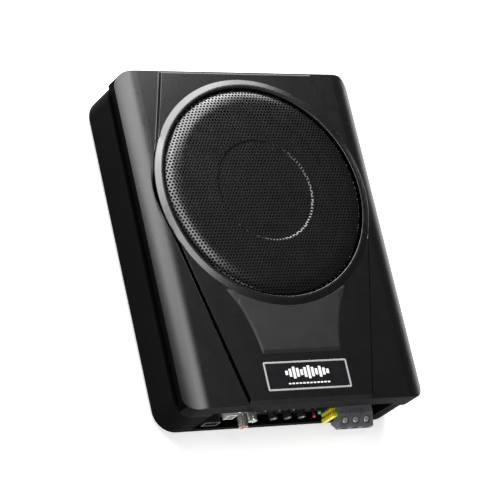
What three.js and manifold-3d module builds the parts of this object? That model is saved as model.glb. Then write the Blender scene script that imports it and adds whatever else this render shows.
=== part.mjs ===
// A powered under-seat car subwoofer: a flat rounded enclosure with a slim woofer under a domed
// perforated grille, a built-in amplifier, and a recessed connector panel in one short end.
// Millimetres, +Z up through the grille. The unit lies on its feet at z = 0, its length runs
// along Y, and the connector end faces -Y.
import * as THREE from 'three';
import { mergeVertices } from 'three/addons/utils/BufferGeometryUtils.js';
import Module from 'manifold-3d';

const wasm = await Module();
wasm.setup();

// ---- Driving dimensions -------------------------------------------------------------------
const WIDTH = 250;
const LENGTH = 321;
const CONNECTOR_REACH = 9.5; // how far the terminal block stands out past the connector end
const FOOT_HEIGHT = 3;
const WALL = 3;
const GAP = 0.3; // between pieces that rest on each other
const SEAM_Z = 45; // where the cover meets the base shell
const ARRIS_Z = 60.2; // the sharp edge all round the cover
const WING_Z = 68.7; // the cover's side areas
const PANEL_Z = 71.2; // the raised six-sided area
const GRILLE_TOP_Z = 74;
const WOOFER_Y = 41; // the woofer's axis, measured from the enclosure's middle
const RING_RADIUS = 110.5; // outside of the cover's sloped ring
const LIP_RADIUS = 102; // inside of that ring
const LEDGE_Z = 54; // the ledge in the cover that the woofer is screwed to
const LEDGE_BORE = 95;
const CONE_TRAVEL = 5; // each way
const FAR_END = LENGTH / 2;
const CONNECTOR_END = -LENGTH / 2;
const POCKET_DEPTH = 9.5; // from the connector end in to the control panel's face
const POCKET = { x0: -92, x1: 96, z0: 11.6, z1: 52.5 };
const PANEL_FACE = CONNECTOR_END + POCKET_DEPTH;
const ROUND = 48; // sides of a large circle
const MIDDLE_ROUND = 32; // sides of a middle-sized circle
const SMALL_ROUND = 14; // sides of a small circle

// ---- Materials ----------------------------------------------------------------------------
const paint = (color, roughness, metalness = 0) => ({ color, roughness, metalness });
const finishes = {
  casing: paint(0x17181a, 0.55),
  grille: paint(0x121314, 0.5, 0.3),
  satinBlack: paint(0x1c1c1e, 0.5),
  glossBlack: paint(0x0c0c0d, 0.2),
  silver: paint(0xd6d8da, 0.3, 0.9),
  steel: paint(0xa9acb0, 0.35, 0.95),
  zinc: paint(0xb8b29a, 0.4, 0.9),
  copper: paint(0xb8733a, 0.4, 0.9),
  red: paint(0xc8242c, 0.4),
  white: paint(0xe9e9e4, 0.45),
  yellow: paint(0xe6cf16, 0.3),
  green: paint(0x3fd0a0, 0.25),
  terminalGrey: paint(0x5b5d60, 0.45),
  rubber: paint(0x101010, 0.9),
  foam: paint(0x202020, 0.95),
  paper: paint(0x1b1b1c, 0.8),
  cloth: paint(0xb08a3c, 0.85),
  ferrite: paint(0x2a2a2c, 0.7),
  board: paint(0x1f5a36, 0.5),
  aluminium: paint(0xb4b7ba, 0.45, 0.85),
};

// ---- Building blocks ----------------------------------------------------------------------
const unit = new THREE.Group();
const assembly = new THREE.Group();
assembly.position.y = CONNECTOR_REACH / 2;
unit.add(assembly);

function place(name, shape, finish, parent = assembly) {
  const geometry = toGeometry(shape.isBufferGeometry ? toSolid(shape) : shape);
  const mesh = new THREE.Mesh(geometry, new THREE.MeshStandardMaterial(finishes[finish]));
  mesh.name = name;
  parent.add(mesh);
  return mesh;
}

function signedVolume(positions, index) {
  const [a, b, c] = [new THREE.Vector3(), new THREE.Vector3(), new THREE.Vector3()];
  let volume = 0;
  for (let i = 0; i < index.length; i += 3) {
    a.fromArray(positions, index[i] * 3);
    b.fromArray(positions, index[i + 1] * 3);
    c.fromArray(positions, index[i + 2] * 3);
    volume += a.dot(b.cross(c)) / 6;
  }
  return volume;
}

function toSolid(geometry) {
  const bare = geometry.clone();
  bare.deleteAttribute('normal');
  bare.deleteAttribute('uv');
  const merged = mergeVertices(bare, 1e-4);
  const vertProperties = Float32Array.from(merged.attributes.position.array);
  const index = Array.from(merged.index.array);
  const triVerts = [];
  const turned = signedVolume(vertProperties, index) < 0;
  for (let i = 0; i < index.length; i += 3) {
    const [a, b, c] = index.slice(i, i + 3);
    if (a === b || b === c || c === a) continue;
    triVerts.push(...(turned ? [a, c, b] : [a, b, c]));
  }
  return new wasm.Manifold(
    new wasm.Mesh({ numProp: 3, vertProperties, triVerts: Uint32Array.from(triVerts) }),
  );
}

function toGeometry(solid) {
  const mesh = solid.getMesh();
  const geometry = new THREE.BufferGeometry();
  geometry.setAttribute('position', new THREE.BufferAttribute(mesh.vertProperties, 3));
  geometry.setIndex(new THREE.BufferAttribute(mesh.triVerts, 1));
  return geometry;
}

const joined = (...shapes) => shapes.map(toSolid).reduce((whole, part) => whole.add(part));
const cut = (solid, ...shapes) => shapes.reduce((rest, tool) => rest.subtract(toSolid(tool)), solid);

function box(x0, x1, y0, y1, z0, z1) {
  const geometry = new THREE.BoxGeometry(x1 - x0, y1 - y0, z1 - z0);
  return geometry.translate((x0 + x1) / 2, (y0 + y1) / 2, (z0 + z1) / 2);
}

// An outline in x and y, raised from z0 to z1.
function upright(outline, z0, z1) {
  const options = { depth: z1 - z0, bevelEnabled: false, curveSegments: 7 };
  return new THREE.ExtrudeGeometry(outline, options).translate(0, 0, z0);
}

// An outline in x and z, run along Y from y0 to y1.
function alongY(outline, y0, y1) {
  const options = { depth: y1 - y0, bevelEnabled: false, curveSegments: 5 };
  return new THREE.ExtrudeGeometry(outline, options).rotateX(Math.PI / 2).translate(0, y1, 0);
}

// An outline in y and z, run along X from x0 to x1.
function alongX(outline, x0, x1) {
  const options = { depth: x1 - x0, bevelEnabled: false };
  const turn = new THREE.Matrix4().makeBasis(
    new THREE.Vector3(0, 1, 0), new THREE.Vector3(0, 0, 1), new THREE.Vector3(1, 0, 0),
  );
  return new THREE.ExtrudeGeometry(outline, options).applyMatrix4(turn).translate(x0, 0, 0);
}

// A closed profile of [radius, z] points turned about the vertical axis at (x, y).
function turned(profile, x, y, sides = ROUND) {
  const points = profile.map(([radius, z]) => new THREE.Vector2(radius, z));
  if (profile[0][0] > 0) points.push(points[0].clone());
  return new THREE.LatheGeometry(points, sides).rotateX(Math.PI / 2).translate(x, y, 0);
}

function cylinderZ(x, y, z0, z1, radius, sides = SMALL_ROUND) {
  const geometry = new THREE.CylinderGeometry(radius, radius, z1 - z0, sides);
  return geometry.rotateX(Math.PI / 2).translate(x, y, (z0 + z1) / 2);
}

function cylinderY(x, z, y0, y1, radius, sides = SMALL_ROUND) {
  const geometry = new THREE.CylinderGeometry(radius, radius, y1 - y0, sides);
  return geometry.translate(x, (y0 + y1) / 2, z);
}

const polygon = (points) => new THREE.Shape(points.map(([u, v]) => new THREE.Vector2(u, v)));

function roundedPlan(halfWidth, halfLength, radius) {
  const shape = new THREE.Shape();
  shape.absarc(halfWidth - radius, halfLength - radius, radius, 0, Math.PI / 2);
  shape.absarc(radius - halfWidth, halfLength - radius, radius, Math.PI / 2, Math.PI);
  shape.absarc(radius - halfWidth, radius - halfLength, radius, Math.PI, 1.5 * Math.PI);
  shape.absarc(halfWidth - radius, radius - halfLength, radius, 1.5 * Math.PI, 2 * Math.PI);
  return shape;
}

// ---- Base shell ---------------------------------------------------------------------------
const FOOT = { x: 86, y: 118.8, radius: 9 };
const FLOOR_TOP = FOOT_HEIGHT + WALL;
const BOSS_RADIUS = 5;
const CORNER_SCREW = { x: 104, y: 139, radius: 1.8, headRadius: 4 };
const corners = [[-1, -1], [1, -1], [-1, 1], [1, 1]];

function baseShell() {
  const inset = 0.5;
  const outer = upright(roundedPlan(WIDTH / 2 - inset, LENGTH / 2, 20), FOOT_HEIGHT, SEAM_Z);
  const inner = upright(
    roundedPlan(WIDTH / 2 - inset - WALL, LENGTH / 2 - WALL, 17), FLOOR_TOP, SEAM_Z + 1,
  );
  const frameBack = PANEL_FACE + 5;
  const pocketFrame = box(
    POCKET.x0 - WALL, POCKET.x1 + WALL, CONNECTOR_END + 1, frameBack, FOOT_HEIGHT, SEAM_Z,
  );
  const bosses = corners.map(([sx, sy]) =>
    cylinderZ(sx * CORNER_SCREW.x, sy * CORNER_SCREW.y, FOOT_HEIGHT, SEAM_Z, BOSS_RADIUS));
  const standoffs = boardPosts.map(([x, y]) =>
    cylinderZ(x, y, FOOT_HEIGHT, BOARD_Z - GAP, POST.radius, 12));
  const magnetPad = cylinderZ(0, WOOFER_Y, FOOT_HEIGHT, FLOOR_TOP + 1, 30, MIDDLE_ROUND);
  const shell = toSolid(outer).subtract(toSolid(inner))
    .add(joined(pocketFrame, magnetPad, ...bosses, ...standoffs));
  const mouth = box(POCKET.x0, POCKET.x1, CONNECTOR_END - 1, PANEL_FACE, POCKET.z0, SEAM_Z + 1);
  const seat = box(
    POCKET.x0 + 2, POCKET.x1 - 2, PANEL_FACE - 1, frameBack + 1, POCKET.z0 + 3, SEAM_Z + 1,
  );
  const panelSlot = box(
    POCKET.x0 - GAP, POCKET.x1 + GAP, PANEL_FACE - GAP, PANEL_FACE + 2 + GAP,
    POCKET.z0 - GAP, SEAM_Z + 1,
  );
  const screwBores = corners.flatMap(([sx, sy]) => [
    cylinderZ(sx * CORNER_SCREW.x, sy * CORNER_SCREW.y, 0, SEAM_Z + 1, CORNER_SCREW.radius + GAP),
    cylinderZ(sx * CORNER_SCREW.x, sy * CORNER_SCREW.y, 0, FLOOR_TOP, CORNER_SCREW.headRadius + GAP),
  ]);
  return cut(shell, mouth, seat, panelSlot, ...screwBores);
}

// ---- Top cover ----------------------------------------------------------------------------
const HEX = { farHalfWidth: 81, connectorHalfWidth: 64.5, connectorChamfer: 4.5 };

// Where a line from the point (x, y) touches the ring's outer circle, on the +X side.
function touchOnRing(x, y) {
  const distance = Math.hypot(x, y - WOOFER_Y);
  const bearing = Math.atan2(y - WOOFER_Y, x);
  const swing = Math.acos(RING_RADIUS / distance);
  return y > WOOFER_Y ? bearing - swing : bearing + swing;
}

function hexagonOutline() {
  const far = [HEX.farHalfWidth, FAR_END - 1.5];
  const near = [HEX.connectorHalfWidth, CONNECTOR_END + 0.5];
  const upper = touchOnRing(...far);
  const lower = touchOnRing(...near);
  const shape = new THREE.Shape();
  shape.moveTo(-far[0], far[1]);
  shape.lineTo(-near[0], near[1]);
  shape.lineTo(near[0], near[1]);
  shape.absarc(0, WOOFER_Y, RING_RADIUS, lower, upper, false);
  shape.lineTo(far[0], far[1]);
  return shape;
}

// The left half is the right half mirrored, so that both sides follow the ring.
function hexagon() {
  const right = toSolid(upright(hexagonOutline(), WING_Z - 4, PANEL_Z));
  const raised = right.add(right.mirror([1, 0, 0]));
  const chamfer = alongX(
    polygon([
      [CONNECTOR_END - 5, WING_Z - 5], [CONNECTOR_END + 0.2, WING_Z - 0.4],
      [CONNECTOR_END + HEX.connectorChamfer, PANEL_Z + 0.01], [CONNECTOR_END - 5, PANEL_Z + 5],
    ]), -WIDTH, WIDTH,
  );
  return raised.subtract(toSolid(chamfer));
}

// A level tongue that runs from the ring towards the connector end, with hollow curved sides.
const TONGUE = {
  rootHalfWidth: 62, rootY: -54, waistHalfWidth: 46, waistY: -78, endHalfWidth: 41, endY: -114, rise: 0.9,
};

function tongue() {
  const shape = new THREE.Shape();
  shape.moveTo(-TONGUE.rootHalfWidth, TONGUE.rootY);
  shape.quadraticCurveTo(-TONGUE.waistHalfWidth, TONGUE.waistY, -TONGUE.endHalfWidth, TONGUE.endY);
  shape.lineTo(TONGUE.endHalfWidth, TONGUE.endY);
  shape.quadraticCurveTo(TONGUE.waistHalfWidth, TONGUE.waistY, TONGUE.rootHalfWidth, TONGUE.rootY);
  return upright(shape, WING_Z - 4, PANEL_Z + TONGUE.rise);
}

const RING = { outerZ: 70.2, topZ: 72.6, topRadius: 104.9 };
const BADGE = {
  halfWidth: 43.6, y0: CONNECTOR_END + 11.6, y1: CONNECTOR_END + 38.4, depth: 1.2, rim: 1.6, fieldDepth: 0.4,
};

// The cover seen from one end: skirts that lean out up to the arris, then long edges that roll
// inwards to the side areas.
function coverSection() {
  const half = WIDTH / 2;
  const skirtLean = 3;
  const rollWidth = 12.5;
  const rollEnd = WING_Z - 0.6;
  const shape = new THREE.Shape();
  shape.moveTo(skirtLean - half, SEAM_Z + GAP);
  shape.lineTo(half - skirtLean, SEAM_Z + GAP);
  shape.lineTo(half, ARRIS_Z);
  shape.quadraticCurveTo(half - rollWidth / 5, rollEnd - 0.6, half - rollWidth, rollEnd);
  shape.lineTo(half - 2 * rollWidth, WING_Z);
  shape.lineTo(2 * rollWidth - half, WING_Z);
  shape.lineTo(rollWidth - half, rollEnd);
  shape.quadraticCurveTo(rollWidth / 5 - half, rollEnd - 0.6, -half, ARRIS_Z);
  shape.closePath();
  return shape;
}

function topCover() {
  const plan = upright(roundedPlan(WIDTH / 2, LENGTH / 2, 14), SEAM_Z, PANEL_Z + 5);
  const body = toSolid(alongY(coverSection(), CONNECTOR_END - 5, FAR_END + 5)).intersect(toSolid(plan));
  const ring = turned([
    [LEDGE_BORE, LEDGE_Z - WALL], [RING_RADIUS, LEDGE_Z - WALL], [RING_RADIUS, RING.outerZ],
    [RING.topRadius, RING.topZ], [LIP_RADIUS + 1, RING.topZ], [LIP_RADIUS, RING.topZ - 0.8],
    [LIP_RADIUS, LEDGE_Z], [LEDGE_BORE, LEDGE_Z],
  ], 0, WOOFER_Y);
  const hollow = upright(
    roundedPlan(WIDTH / 2 - 2 * WALL, LENGTH / 2 - WALL, 11), SEAM_Z - 1, WING_Z - WALL,
  );
  const ceiling = box(
    POCKET.x0 - WALL, POCKET.x1 + WALL, CONNECTOR_END + 1, PANEL_FACE + 5, POCKET.z1, WING_Z - 1,
  );
  const bosses = corners.map(([sx, sy]) =>
    cylinderZ(sx * CORNER_SCREW.x, sy * CORNER_SCREW.y, SEAM_Z + GAP, WING_Z - 1, BOSS_RADIUS));
  const well = cylinderZ(0, WOOFER_Y, LEDGE_Z, PANEL_Z + 5, LIP_RADIUS, ROUND);
  const bore = cylinderZ(0, WOOFER_Y, SEAM_Z, PANEL_Z + 5, LEDGE_BORE, ROUND);
  const wellWall = cylinderZ(0, WOOFER_Y, LEDGE_Z - WALL, WING_Z - 1, LIP_RADIUS + WALL, ROUND);
  const notch = box(POCKET.x0, POCKET.x1, CONNECTOR_END - 1, PANEL_FACE, SEAM_Z - 1, POCKET.z1);
  const panelSlot = box(
    POCKET.x0 - GAP, POCKET.x1 + GAP, CONNECTOR_END + 1, PANEL_FACE + 5, SEAM_Z - 1, POCKET.z1 + GAP,
  );
  const badgeSeat = box(
    -BADGE.halfWidth - GAP, BADGE.halfWidth + GAP, BADGE.y0 - GAP, BADGE.y1 + GAP,
    PANEL_Z - BADGE.depth, PANEL_Z + 1,
  );
  const screwBores = corners.map(([sx, sy]) => cylinderZ(
    sx * CORNER_SCREW.x, sy * CORNER_SCREW.y, SEAM_Z - 1, ARRIS_Z, CORNER_SCREW.radius + GAP));
  const wooferBores = wooferScrewPlaces.map(([x, y]) =>
    cylinderZ(x, y, LEDGE_Z - WALL - 1, LEDGE_Z + 1, WOOFER_SCREW.radius + GAP, 12));
  const shell = body.subtract(toSolid(hollow)).add(hexagon()).add(toSolid(tongue()));
  const withRing = cut(shell.add(joined(wellWall, ceiling, ...bosses)), well, bore).add(toSolid(ring));
  return cut(withRing, notch, panelSlot, badgeSeat, ...screwBores, ...wooferBores);
}

// ---- Grille -------------------------------------------------------------------------------
function grille() {
  const skin = 1.4;
  const top = GRILLE_TOP_Z;
  return turned([
    [0, top - 1], [48, top - 1], [49.5, top], [88, top], [95, top - 1.2], [99, top - 3.2],
    [101, top - 5.6], [101, top - 10], [101 - skin, top - 10], [101 - skin, top - 6.2],
    [98, top - 4.4], [94.4, top - 2.6], [87.8, top - skin], [49.1, top - skin],
    [47.6, top - 1 - skin], [0, top - 1 - skin],
  ], 0, WOOFER_Y);
}

// ---- Badge --------------------------------------------------------------------------------
function badgeFrame() {
  const { halfWidth, y0, y1, depth, rim, fieldDepth } = BADGE;
  const plate = box(-halfWidth, halfWidth, y0, y1, PANEL_Z - depth + GAP, PANEL_Z + 0.5);
  const window = box(
    rim - halfWidth, halfWidth - rim, y0 + rim, y1 - rim, PANEL_Z - fieldDepth, PANEL_Z + 1,
  );
  return cut(toSolid(plate), window);
}

function badgeField() {
  const { halfWidth, y0, y1, rim, fieldDepth } = BADGE;
  const inset = rim + GAP;
  return box(
    inset - halfWidth, halfWidth - inset, y0 + inset, y1 - inset,
    PANEL_Z - fieldDepth + GAP / 2, PANEL_Z + 0.3,
  );
}

// ---- Woofer -------------------------------------------------------------------------------
const WOOFER = {
  flangeRadius: 101, flangeZ: LEDGE_Z + GAP, flangeTop: LEDGE_Z + 2.8, gapRadius: 20.2, poleRadius: 17.4,
};
const WOOFER_SCREW = { radius: 1.6, headRadius: 3, circle: 98.2 };
const wooferScrewPlaces = corners.map(([sx, sy]) => {
  const reach = WOOFER_SCREW.circle * Math.SQRT1_2;
  return [sx * reach, WOOFER_Y + sy * reach];
});
const MOTOR_Z = FLOOR_TOP + 1 + GAP; // the back plate rests on the base shell's pad
const backPlateTop = MOTOR_Z + 4;
const magnetTop = backPlateTop + GAP + 14;
const topPlateTop = magnetTop + GAP + 5;
const basketFloor = topPlateTop + GAP;
const SPIDER_Z = basketFloor + 5;
const CONE = { neckRadius: 19.8, rimRadius: 80, neckZ: SPIDER_Z + 5, rimZ: LEDGE_Z + 3.4, rimDepth: 1.2 };
const SPIDER_SEAT = { inner: 54, outer: 60, z: SPIDER_Z + 1.5 };

// A pressed frame: a floor on the motor, a step that carries the spider, six windows in the
// sloping wall, and the flange that is screwed to the cover. The wall keeps clear of the cone's
// rim at the bottom of its travel.
function basket() {
  const wallTop = CONE.rimZ - CONE_TRAVEL - 2;
  const windows = 6;
  const ribWindows = [];
  for (let turn = 0; turn < windows; turn += 1) {
    const angle = ((turn + 0.5) * 2 * Math.PI) / windows;
    const window = new THREE.BoxGeometry(13, 26, 20).translate(76, 0, SPIDER_Z + 8);
    ribWindows.push(window.rotateZ(angle).translate(0, WOOFER_Y, 0));
  }
  const body = toSolid(turned([
    [24, basketFloor], [60, basketFloor], [62, SPIDER_Z - 1], [91, wallTop - 3], [94.4, wallTop],
    [94.4, WOOFER.flangeZ], [WOOFER.flangeRadius, WOOFER.flangeZ],
    [WOOFER.flangeRadius, WOOFER.flangeTop], [90, WOOFER.flangeTop], [90, wallTop],
    [SPIDER_SEAT.outer, SPIDER_SEAT.z], [SPIDER_SEAT.inner, SPIDER_SEAT.z],
    [SPIDER_SEAT.inner, basketFloor + 2], [24, basketFloor + 2],
  ], 0, WOOFER_Y));
  const screwBores = wooferScrewPlaces.map(([x, y]) =>
    cylinderZ(x, y, LEDGE_Z, WOOFER.flangeTop + 1, WOOFER_SCREW.radius + GAP, 12));
  return cut(body, ...ribWindows, ...screwBores);
}

function wooferScrew(x, y) {
  const seat = WOOFER.flangeTop + GAP;
  return joined(
    cylinderZ(x, y, LEDGE_Z - 8, seat + 0.5, WOOFER_SCREW.radius, 12),
    cylinderZ(x, y, seat, seat + 2, WOOFER_SCREW.headRadius, 12),
  );
}

const backPlate = () => turned([
  [0, MOTOR_Z], [45, MOTOR_Z], [45, backPlateTop], [WOOFER.poleRadius, backPlateTop],
  [WOOFER.poleRadius, topPlateTop], [0, topPlateTop],
], 0, WOOFER_Y, MIDDLE_ROUND);

const tube = (inner, outer, z0, z1, sides = MIDDLE_ROUND) =>
  turned([[inner, z0], [outer, z0], [outer, z1], [inner, z1]], 0, WOOFER_Y, sides);

// A corrugated disc from the voice coil out to the basket's step.
function spider() {
  const rise = 1.1;
  const thickness = 0.8;
  const rolls = 3;
  const inner = CONE.neckRadius + GAP;
  const reach = SPIDER_SEAT.outer - 3 - inner;
  const under = [];
  const over = [];
  for (let step = 0; step <= 2 * rolls; step += 1) {
    const radius = inner + (reach * step) / (2 * rolls);
    const z = SPIDER_SEAT.z + GAP + (step % 2 === 0 ? 0 : rise);
    under.push([radius, z]);
    over.unshift([radius, z + thickness]);
  }
  return turned([...under, ...over], 0, WOOFER_Y, MIDDLE_ROUND);
}

function coneBody() {
  const { neckRadius, rimRadius, neckZ, rimZ, rimDepth } = CONE;
  const bend = { radius: 50, z: neckZ + 5.4 };
  return turned([
    [neckRadius + GAP, neckZ], [bend.radius, bend.z], [rimRadius, rimZ - rimDepth],
    [rimRadius + 4, rimZ - rimDepth], [rimRadius + 4, rimZ], [rimRadius - 0.5, rimZ],
    [bend.radius, bend.z + 1.6], [neckRadius + GAP, neckZ + 1.8],
  ], 0, WOOFER_Y, MIDDLE_ROUND);
}

// A half-round rubber roll with a flat land each side: one on the cone's rim, one on the flange.
function surround() {
  const inner = [];
  const outer = [];
  const roll = { middle: 87, radius: 5, thickness: 0.9 };
  const seat = CONE.rimZ + GAP;
  const lands = { inner: 80.6, outer: 94.5 };
  const steps = 6;
  for (let step = 0; step <= steps; step += 1) {
    const angle = Math.PI - (step * Math.PI) / steps;
    const at = (radius) => [roll.middle + radius * Math.cos(angle), seat + radius * Math.sin(angle)];
    inner.unshift(at(roll.radius - roll.thickness));
    outer.push(at(roll.radius));
  }
  return turned([
    [lands.inner, seat], [lands.inner, seat + roll.thickness], ...outer.slice(1, -1),
    [lands.outer, seat + roll.thickness], [lands.outer, seat], ...inner,
  ], 0, WOOFER_Y, MIDDLE_ROUND);
}

// A shallow dome over the voice coil: [radius, height over the cone's neck], under and over.
function dustCap() {
  const under = [[0, 9.6], [12, 8.9], [22, 6.4], [30, 3.8]];
  const over = [[30, 4.9], [22, 7.6], [12, 10], [0, 10.7]];
  const profile = [...under, ...over].map(([radius, height]) => [radius, CONE.neckZ + height]);
  return turned(profile, 0, WOOFER_Y, MIDDLE_ROUND);
}

// ---- Amplifier ----------------------------------------------------------------------------
const BOARD_Z = 12;
const BOARD_THICKNESS = 1.6;
const BOARD = { halfWidth: 97, y0: PANEL_FACE + 7, y1: -66 };
const POST = { x: 90, y0: -120, y1: -74, radius: 3 };
const boardPosts = [POST.y0, POST.y1].flatMap((y) => [[-POST.x, y], [POST.x, y]]);
const onBoard = BOARD_Z + BOARD_THICKNESS + GAP;
const HEAT_SINK = { x0: 44, x1: 96, y0: -112, y1: -84, base: 4, height: 24, fins: 6, fin: 2.5 };
const TOROID = { x: -60, y: -100, bore: 8, radius: 22, height: 18, round: 2 };
const CAPACITOR = { x: [-20, 4], y: -98, radius: 9, height: 26 };

const circuitBoard = () => box(
  -BOARD.halfWidth, BOARD.halfWidth, BOARD.y0, BOARD.y1, BOARD_Z, BOARD_Z + BOARD_THICKNESS,
);

function heatSink() {
  const { x0, x1, y0, y1, base, height, fins, fin } = HEAT_SINK;
  const spacing = (x1 - x0 - 4 - fin) / (fins - 1);
  const blades = [];
  for (let n = 0; n < fins; n += 1) {
    const x = x0 + 2 + n * spacing;
    blades.push(box(x, x + fin, y0, y1, onBoard + base - 1, onBoard + height));
  }
  return joined(box(x0, x1, y0, y1, onBoard, onBoard + base), ...blades);
}

function toroid() {
  const { x, y, bore, radius, height, round } = TOROID;
  const top = onBoard + height;
  return turned([
    [bore, onBoard], [radius - round, onBoard], [radius, onBoard + round], [radius, top - round],
    [radius - round, top], [bore, top],
  ], x, y, MIDDLE_ROUND);
}

const capacitor = (x) =>
  cylinderZ(x, CAPACITOR.y, onBoard, onBoard + CAPACITOR.height, CAPACITOR.radius, 24);

// ---- Control panel and its parts ------------------------------------------------------------
const RCA = { x: -48.6, lowerZ: 26.4, upperZ: 43, radius: 4.15, pinRadius: 1.6, reach: 15.5 };
const KNOBS = { x: [-15, 0, 15], z: 25, radius: 4.2, shaft: 1.8, reach: 9, back: 8 };
const SWITCH = { x: -30, z: 27, reach: 3, button: 3, travel: 3.8, halfHeight: 1.3 };
const SWITCH_TRACK = { halfWidth: 4.2, halfHeight: 1.5 };
const LEDS = { x: 27.5, redZ: 26, greenZ: 35.5, radius: 1.5, reach: 10 };
const FUSE = { x0: 40.2, x1: 45.3, z0: 17.2, z1: 36.3, reach: 13, seat: 5 };
const REMOTE = { x0: -68.8, x1: -59.2, z0: 27.5, z1: 38.8, reach: 7.5 };
const HIGH_LEVEL = { x0: -87, x1: -71, z0: 18.5, z1: 27.5, reach: 9.5 };
const TERMINAL = { x0: 56.7, x1: 93.5, pitch: 11.5, topZ: 22.9, creaseY: CONNECTOR_END + 2.6 };
const PIN_SETBACK = 4.7; // how far a socket's contacts lie behind its mouth
const PANEL_THICKNESS = 2;
const panelBack = PANEL_FACE + PANEL_THICKNESS;
const panelScrews = [[-70, 47.5], [70, 47.5]];
const PANEL_SCREW = { radius: 1.5, headRadius: 3 };

function controlPanel() {
  const plate = box(POCKET.x0, POCKET.x1, PANEL_FACE, panelBack, POCKET.z0 + GAP, POCKET.z1 - GAP);
  const through = (x, z, radius) => cylinderY(x, z, PANEL_FACE - 1, panelBack + 1, radius + GAP);
  const window = (x0, x1, z0, z1) =>
    box(x0 - GAP, x1 + GAP, PANEL_FACE - 1, panelBack + 1, z0 - GAP, z1 + GAP);
  return cut(
    toSolid(plate),
    through(RCA.x, RCA.lowerZ, RCA.radius),
    through(RCA.x, RCA.upperZ, RCA.radius),
    ...KNOBS.x.map((x) => through(x, KNOBS.z, KNOBS.shaft)),
    through(LEDS.x, LEDS.redZ, LEDS.radius),
    through(LEDS.x, LEDS.greenZ, LEDS.radius),
    ...panelScrews.map(([x, z]) => through(x, z, PANEL_SCREW.radius)),
    window(
      SWITCH.x - SWITCH_TRACK.halfWidth, SWITCH.x + SWITCH_TRACK.halfWidth,
      SWITCH.z - SWITCH_TRACK.halfHeight, SWITCH.z + SWITCH_TRACK.halfHeight,
    ),
    window(HIGH_LEVEL.x0, HIGH_LEVEL.x1, HIGH_LEVEL.z0, HIGH_LEVEL.z1),
    window(REMOTE.x0, REMOTE.x1, REMOTE.z0, REMOTE.z1),
  );
}

function panelScrew(x, z) {
  const head = cylinderY(x, z, PANEL_FACE - GAP - 1.8, PANEL_FACE - GAP, PANEL_SCREW.headRadius, 16);
  const shank = cylinderY(x, z, PANEL_FACE - GAP - 1, panelBack + 2.5, PANEL_SCREW.radius, 12);
  const slot = box(x - 2, x + 2, PANEL_FACE - 3, PANEL_FACE - GAP - 1.1, z - 0.4, z + 0.4);
  const cross = box(x - 0.4, x + 0.4, PANEL_FACE - 3, PANEL_FACE - GAP - 1.1, z - 2, z + 2);
  return cut(joined(head, shank), slot, cross);
}

function rcaBarrel(z) {
  const tip = PANEL_FACE - RCA.reach;
  const barrel = joined(
    cylinderY(RCA.x, z, tip, panelBack + 3, RCA.radius, 20),
    cylinderY(RCA.x, z, PANEL_FACE - 2 - GAP, PANEL_FACE - GAP, RCA.radius + 1.4, 20),
  );
  return cut(barrel, cylinderY(RCA.x, z, tip - 1, panelBack + 4, RCA.radius - 0.5, 20));
}

function rcaInsulator(z) {
  const tip = PANEL_FACE - RCA.reach + 0.3;
  const core = cylinderY(RCA.x, z, tip, panelBack + 2.5, RCA.radius - 0.8, 16);
  return cut(toSolid(core), cylinderY(RCA.x, z, tip - 1, PANEL_FACE + 1, RCA.pinRadius, 12));
}

function knob(x) {
  const tip = PANEL_FACE - KNOBS.reach;
  const cap = cylinderY(x, KNOBS.z, tip, PANEL_FACE - 1, KNOBS.radius, 18);
  const shaft = cylinderY(x, KNOBS.z, PANEL_FACE - 2, panelBack + KNOBS.back, KNOBS.shaft, 16);
  const pointer = box(x - 0.5, x + 0.5, tip - 1, tip + 0.6, KNOBS.z, KNOBS.z + KNOBS.radius + 1);
  return cut(joined(cap, shaft), pointer);
}

// The button stands at the left end of its track and slides right.
function switchSlider() {
  const { x, z, reach, button, travel, halfHeight } = SWITCH;
  const left = x - (button + travel) / 2;
  return box(left, left + button, PANEL_FACE - reach, panelBack + 3, z - halfHeight, z + halfHeight);
}

function switchBody() {
  const body = box(
    SWITCH.x - 7, SWITCH.x + 7, panelBack + GAP, panelBack + 7, SWITCH.z - 4, SWITCH.z + 4,
  );
  const side = SWITCH_TRACK.halfWidth + 0.2;
  const height = SWITCH_TRACK.halfHeight + 0.2;
  const track = box(
    SWITCH.x - side, SWITCH.x + side, panelBack - 1, panelBack + 4, SWITCH.z - height, SWITCH.z + height,
  );
  return cut(toSolid(body), track);
}

function led(z) {
  const tip = PANEL_FACE - LEDS.reach;
  const dome = new THREE.SphereGeometry(LEDS.radius, 16, 10).translate(LEDS.x, tip + LEDS.radius, z);
  return joined(cylinderY(LEDS.x, z, tip + LEDS.radius, panelBack + 2, LEDS.radius, 16), dome);
}

const fuseMiddle = (FUSE.x0 + FUSE.x1) / 2;
const fuseBladeSpans = [[FUSE.z0 + 1.4, FUSE.z0 + 6.6], [FUSE.z1 - 6.6, FUSE.z1 - 1.4]];
const fuseBodyBack = PANEL_FACE - FUSE.seat - GAP;
const BLADE = { halfThickness: 0.35, seat: 3 };

// An upright slot or blade across the fuse, from y0 to y1.
const fuseSlab = ([z0, z1], halfThickness, y0, y1, clearance = 0) => box(
  fuseMiddle - halfThickness - clearance, fuseMiddle + halfThickness + clearance, y0, y1,
  z0 - clearance, z1 + clearance,
);

function fuseHolder() {
  const lip = 1.6;
  const front = PANEL_FACE - FUSE.seat;
  const body = box(
    FUSE.x0 - lip, FUSE.x1 + lip, front, PANEL_FACE - GAP, FUSE.z0 - lip, FUSE.z1 + lip,
  );
  const slots = fuseBladeSpans.map((span) =>
    fuseSlab(span, BLADE.halfThickness, front - 1, PANEL_FACE - 1, GAP));
  return cut(toSolid(body), ...slots);
}

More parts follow.
